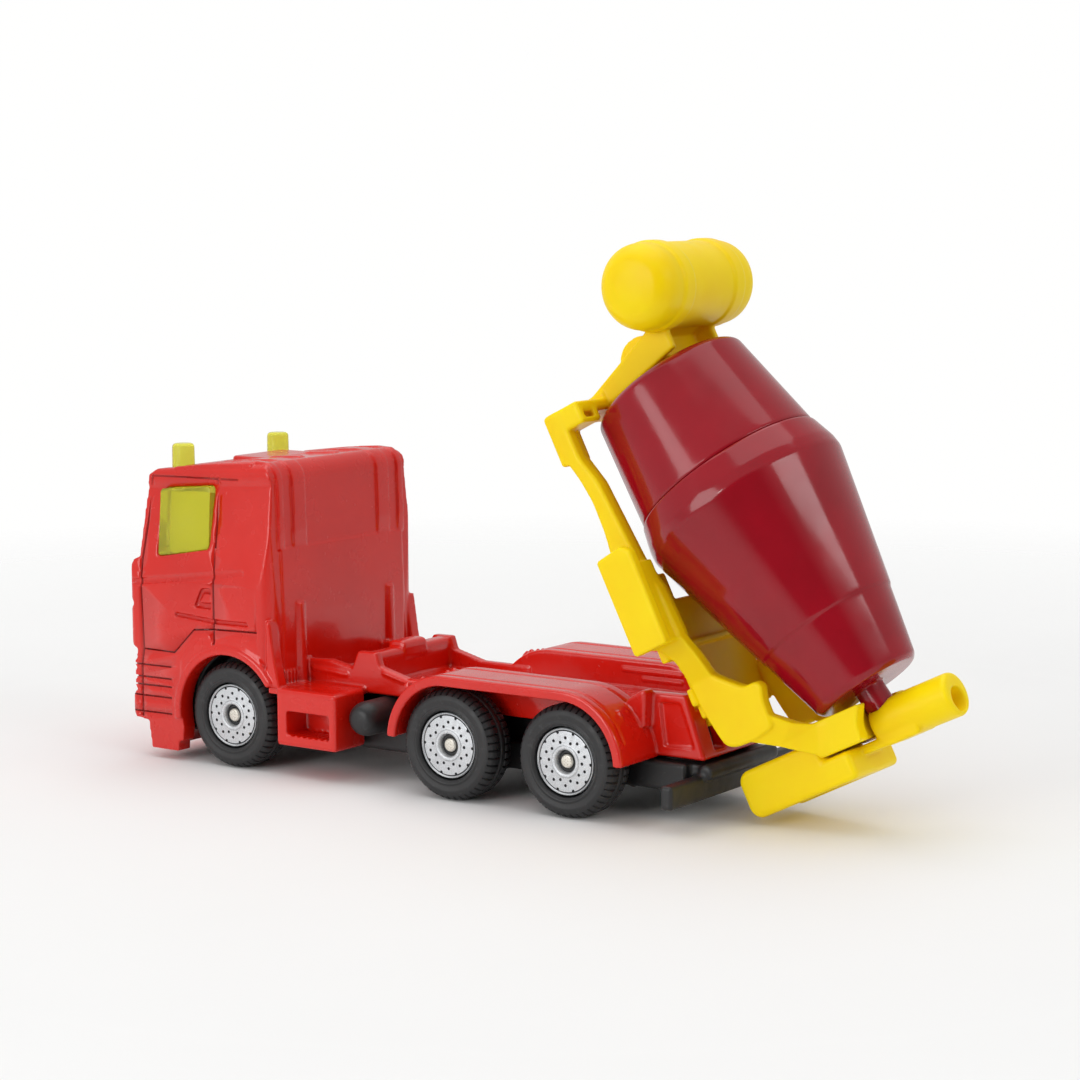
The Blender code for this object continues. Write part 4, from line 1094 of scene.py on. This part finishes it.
class Nodes:
    """A material being drawn: a Principled shader and the nodes that feed it."""

    def __init__(self, name, **settings):
        self.look = bpy.data.materials.new(name)
        self.look.use_nodes = True
        self.tree = self.look.node_tree
        self.shader = self.tree.nodes["Principled BSDF"]
        for socket, value in settings.items():
            self.shader.inputs[socket.replace("_", " ")].default_value = value
        self.place = self.tree.nodes.new("ShaderNodeTexCoord").outputs["Object"]

    def add(self, kind, **inputs):
        node = self.tree.nodes.new(kind)
        for socket, value in inputs.items():
            self.feed(node.inputs[socket.replace("_", " ")], value)
        return node

    def feed(self, socket, value):
        if isinstance(value, bpy.types.NodeSocket):
            self.tree.links.new(value, socket)
        else:
            socket.default_value = value

    def noise(self, size, detail=3.0, rough=0.5):
        """Noise whose features are about size millimetres across."""
        node = self.add("ShaderNodeTexNoise", Vector=self.place, Scale=1.0 / (size * MM), Detail=detail,
                        Roughness=rough)
        return node.outputs["Fac"]

    def remap(self, value, low, high, to_low=0.0, to_high=1.0):
        node = self.add("ShaderNodeMapRange", Value=value, From_Min=low, From_Max=high, To_Min=to_low,
                        To_Max=to_high)
        return node.outputs["Result"]

    def math(self, operation, a, b=0.0):
        node = self.tree.nodes.new("ShaderNodeMath")
        node.operation = operation
        self.feed(node.inputs[0], a)
        self.feed(node.inputs[1], b)
        return node.outputs[0]

    def mix(self, factor, a, b):
        node = self.tree.nodes.new("ShaderNodeMix")
        node.data_type = "RGBA"
        self.feed(node.inputs["Factor"], factor)
        self.feed(node.inputs[6], a)
        self.feed(node.inputs[7], b)
        return node.outputs[2]

    def patches(self, size, one, other, low=0.35, high=0.65):
        """Two colours in soft patches about size millimetres across."""
        return self.mix(self.remap(self.noise(size), low, high), one, other)

    def bump(self, height, depth, normal=None):
        """A bump whose full height is depth millimetres."""
        node = self.add("ShaderNodeBump", Height=height, Distance=depth * MM, Strength=1.0)
        if normal is not None:
            self.feed(node.inputs["Normal"], normal)
        return node.outputs["Normal"]

    def crevice_shade(self, reach):
        """Near 1 in the open and near 0 deep in a groove: the ambient-occlusion mask for painted shade in grooves."""
        node = self.add("ShaderNodeAmbientOcclusion", Distance=reach * MM)
        node.samples = 8
        node.only_local = True
        return node.outputs["AO"]

    def set(self, **sockets):
        for socket, value in sockets.items():
            self.feed(self.shader.inputs[socket.replace("_", " ")], value)
        return self.look


def red_paint():
    """Thick glossy enamel on die-cast metal: orange peel, painted shade in the grooves, pinholes."""
    n = Nodes("red_enamel", Coat_Weight=0.35, Coat_Roughness=0.04, IOR=1.45)
    tone = n.patches(9.0, (0.68, 0.010, 0.003, 1), (0.62, 0.008, 0.002, 1))
    # Painted shade: ambient occlusion darkens the red to near black deep in grooves and seams.
    tone = n.mix(n.remap(n.crevice_shade(0.9), 0.25, 0.75), (0.16, 0.003, 0.003, 1), tone)
    peel = n.bump(n.noise(1.1, 2.0), 0.012)
    specks = n.remap(n.noise(0.45, 1.0), 0.72, 0.80)
    normal = n.bump(specks, 0.02, peel)
    rough = n.remap(n.noise(3.0), 0.3, 0.7, 0.2, 0.3)
    return n.set(Base_Color=tone, Roughness=rough, Normal=normal)


def yellow_plastic():
    """Slightly translucent moulded plastic with a fine satin grain, and painted shade in its corners."""
    n = Nodes("yellow_moulding", Subsurface_Weight=0.25, Subsurface_Radius=(1.0, 0.7, 0.12),
              Subsurface_Scale=0.0012, IOR=1.4, Specular_IOR_Level=0.28)
    tone = n.patches(7.0, (1.0, 0.73, 0.002, 1), (0.97, 0.66, 0.002, 1))
    # Painted shade: ambient occlusion turns the yellow dark orange in grooves and corners.
    tone = n.mix(n.remap(n.crevice_shade(1.2), 0.2, 0.8), (0.78, 0.42, 0.004, 1), tone)
    flow = n.bump(n.noise(4.5, 2.0), 0.03)
    normal = n.bump(n.noise(0.16, 2.0), 0.0035, flow)
    rough = n.remap(n.noise(1.6), 0.3, 0.7, 0.3, 0.42)
    return n.set(Base_Color=tone, Roughness=rough, Normal=normal)


def maroon_plastic():
    """Deep red polished plastic with faint sink marks and hairline scratches."""
    n = Nodes("maroon_moulding", Coat_Weight=0.1, Coat_Roughness=0.04, IOR=1.42, Subsurface_Weight=0.08,
              Subsurface_Radius=(1.0, 0.1, 0.1), Subsurface_Scale=0.001)
    tone = n.patches(6.0, (0.33, 0.003, 0.012, 1), (0.27, 0.003, 0.010, 1), 0.3, 0.7)
    stretch = n.add("ShaderNodeMapping", Vector=n.place, Scale=(1.0, 9.0, 1.0),
                    Rotation=(0.0, radians(51), 0.0))
    hair = n.add("ShaderNodeTexNoise", Vector=stretch.outputs["Vector"], Scale=260.0, Detail=4.0)
    scratch = n.remap(hair.outputs["Fac"], 0.66, 0.72)
    sink = n.bump(n.noise(5.0, 1.0), 0.02)
    normal = n.bump(scratch, 0.0015, sink)
    rough = n.math("ADD", n.remap(n.noise(2.2), 0.3, 0.7, 0.1, 0.17), n.math("MULTIPLY", scratch, 0.08))
    return n.set(Base_Color=tone, Roughness=rough, Normal=normal)


def black_plastic(name, shade, low, high, grain):
    """Satin black plastic with pale scuffs and dust."""
    n = Nodes(name, IOR=1.46)
    scuff = n.remap(n.noise(0.7, 6.0, 0.7), 0.58, 0.78)
    tone = n.mix(scuff, (shade, shade, shade * 1.05, 1), (shade * 2.6, shade * 2.6, shade * 2.7, 1))
    normal = n.bump(n.noise(0.22, 3.0), grain)
    return n.set(Base_Color=tone, Roughness=n.remap(n.noise(1.3), 0.3, 0.7, low, high), Normal=normal)


def silver_print():
    """Silver lacquer printed on plastic, with a fine flake."""
    n = Nodes("silver_print", Metallic=0.55, IOR=1.5)
    flake = n.noise(0.09, 2.0)
    tone = n.mix(n.remap(flake, 0.35, 0.65), (0.50, 0.52, 0.54, 1), (0.74, 0.76, 0.78, 1))
    normal = n.bump(n.noise(0.3, 2.0), 0.006)
    return n.set(Base_Color=tone, Roughness=n.remap(flake, 0.3, 0.7, 0.3, 0.45), Normal=normal)


def pit_print():
    n = Nodes("dark_pits", IOR=1.4)
    tone = n.patches(0.1, (0.012, 0.012, 0.014, 1), (0.03, 0.03, 0.033, 1), 0.4, 0.6)
    return n.set(Base_Color=tone, Roughness=n.remap(n.noise(0.2), 0.3, 0.7, 0.4, 0.6))


def steel():
    """Cut steel wire with a bright, slightly scored surface."""
    n = Nodes("cut_steel", Metallic=0.85)
    score = n.noise(0.12, 4.0)
    tone = n.mix(n.remap(score, 0.35, 0.65), (0.62, 0.58, 0.50, 1), (0.80, 0.77, 0.70, 1))
    return n.set(Base_Color=tone, Roughness=n.remap(score, 0.3, 0.7, 0.25, 0.45),
                 Normal=n.bump(score, 0.012))


def clear_yellow():
    """Clear acid-yellow plastic, a little wavy, with faint haze."""
    n = Nodes("clear_yellow_moulding", Transmission_Weight=0.75, IOR=1.2)
    tone = n.patches(5.0, (0.97, 0.95, 0.14, 1), (0.94, 0.92, 0.10, 1), 0.3, 0.7)
    return n.set(Base_Color=tone, Roughness=n.remap(n.noise(2.0), 0.3, 0.7, 0.04, 0.12),
                 Normal=n.bump(n.noise(2.5, 1.0), 0.02))


# ------------------------------------------------------------- the studio

TOWARDS_CAMERA = (0.569, -0.812, 0.128)
TENT_BRIGHT = 0.62
TENT_DARK = 0.12
AIM = (0.0, 0.0, 0.02)
DRUM_AIM = (0.02, 0.0, 0.03)
CAMERA_AZIMUTH = radians(35.029)
CAMERA_HEIGHT = radians(7.337)
CAMERA_ROLL = -0.0049
CAMERA_SPOT = (151.649, -232.525, 62.418)
CAMERA_LENS = 91.57


def make_floor():
    """A pale floor that fades into the backdrop away from the toy."""
    bm = bmesh.new()
    bmesh.ops.create_circle(bm, cap_ends=True, segments=96, radius=0.9)
    mesh = bpy.data.meshes.new("floor")
    bm.to_mesh(mesh)
    bm.free()
    floor = new_object("floor", mesh)
    n = Nodes("pale_floor", Roughness=0.75, Specular_IOR_Level=0.2)
    grain = n.noise(30.0)
    n.set(Base_Color=n.mix(grain, (0.90, 0.90, 0.895, 1), (0.88, 0.88, 0.875, 1)))
    length = n.tree.nodes.new("ShaderNodeVectorMath")
    length.operation = "LENGTH"
    n.feed(length.inputs[0], n.place)
    n.set(Alpha=n.remap(length.outputs["Value"], 0.09, 0.24, 1.0, 0.0))
    mesh.materials.append(n.look)


def add_light(name, spot, aim, size, power, size_y=None):
    lamp = bpy.data.lights.new(name, "AREA")
    lamp.shape = "RECTANGLE"
    lamp.size = size
    lamp.size_y = size_y or size
    lamp.energy = power
    thing = bpy.data.objects.new(name, lamp)
    thing.location = spot
    thing.rotation_euler = (Vector(aim) - Vector(spot)).to_track_quat("-Z", "Y").to_euler()
    bpy.context.scene.collection.objects.link(thing)


def facing(tree, direction, start, stop):
    """0 to 1 as the looked-at part of the room turns from start to stop towards a direction."""
    turn = tree.nodes.new("ShaderNodeVectorMath")
    turn.operation = "DOT_PRODUCT"
    place = tree.nodes.new("ShaderNodeTexCoord")
    tree.links.new(place.outputs["Generated"], turn.inputs[0])
    turn.inputs[1].default_value = direction
    ramp = tree.nodes.new("ShaderNodeMapRange")
    tree.links.new(turn.outputs["Value"], ramp.inputs["Value"])
    ramp.inputs["From Min"].default_value = start
    ramp.inputs["From Max"].default_value = stop
    return ramp.outputs["Result"]


def light_studio():
    """A bright tent that is dark around the camera, and four area lights."""
    room = bpy.data.worlds.new("studio")
    bpy.context.scene.world = room
    room.use_nodes = True
    tree = room.node_tree
    base = tree.nodes["Background"]
    shade = tree.nodes.new("ShaderNodeMapRange")
    tree.links.new(facing(tree, TOWARDS_CAMERA, 0.80, 0.93), shade.inputs["Value"])
    shade.inputs["To Min"].default_value = TENT_BRIGHT
    shade.inputs["To Max"].default_value = TENT_DARK
    base.inputs["Color"].default_value = (1.0, 1.0, 1.0, 1.0)
    tree.links.new(shade.outputs["Result"], base.inputs["Strength"])
    seen = tree.nodes.new("ShaderNodeBackground")
    seen.inputs["Color"].default_value = (1.0, 1.0, 0.995, 1.0)
    seen.inputs["Strength"].default_value = 1.0
    path = tree.nodes.new("ShaderNodeLightPath")
    blend = tree.nodes.new("ShaderNodeMixShader")
    tree.links.new(path.outputs["Is Camera Ray"], blend.inputs[0])
    tree.links.new(base.outputs[0], blend.inputs[1])
    tree.links.new(seen.outputs[0], blend.inputs[2])
    tree.links.new(blend.outputs[0], tree.nodes["World Output"].inputs["Surface"])
    add_light("overhead", (-0.05, 0.02, 0.45), AIM, 0.5, 1.0)
    add_light("key", (-0.18, -0.66, 0.17), AIM, 0.45, 1.5, 0.3)
    add_light("strip", (0.03, -0.66, 0.26), DRUM_AIM, 0.035, 0.14, 0.075)
    add_light("back_band", (0.5, -0.02, 0.30), DRUM_AIM, 0.3, 0.35, 0.08)


def add_camera():
    """The eye stands behind and to the left, a little above the roof."""
    azimuth, height, roll = CAMERA_AZIMUTH, CAMERA_HEIGHT, CAMERA_ROLL
    back = Vector((sin(azimuth) * cos(height), -cos(azimuth) * cos(height), sin(height)))
    right = Vector((cos(azimuth), sin(azimuth), 0.0))
    up = back.cross(right)
    across = right * cos(roll) + up * sin(roll)
    upright = up * cos(roll) - right * sin(roll)
    lens = bpy.data.cameras.new("camera")
    lens.lens = CAMERA_LENS
    lens.sensor_width = 36.0
    lens.clip_start = 0.01
    eye = bpy.data.objects.new("camera", lens)
    turn = Matrix((across, upright, back)).transposed().to_4x4()
    eye.matrix_world = Matrix.Translation(world(*CAMERA_SPOT)) @ turn
    bpy.context.scene.collection.objects.link(eye)
    bpy.context.scene.camera = eye


def build():
    red, yellow, maroon = red_paint(), yellow_plastic(), maroon_plastic()
    base = black_plastic("black_moulding", 0.016, 0.35, 0.5, 0.008)
    tyre = black_plastic("black_tyre", 0.02, 0.38, 0.55, 0.006)
    metal = steel()
    make_casting(red)
    make_windows(clear_yellow())
    make_base(base)
    make_rivets(metal)
    make_hinge_pin(metal)
    make_wheels(tyre, silver_print(), pit_print(), metal)
    make_frame(yellow)
    make_chute(yellow)
    make_drum(maroon)


build()
make_floor()
light_studio()
add_camera()
bpy.context.scene.view_settings.view_transform = "Standard"
bpy.context.view_layer.update()
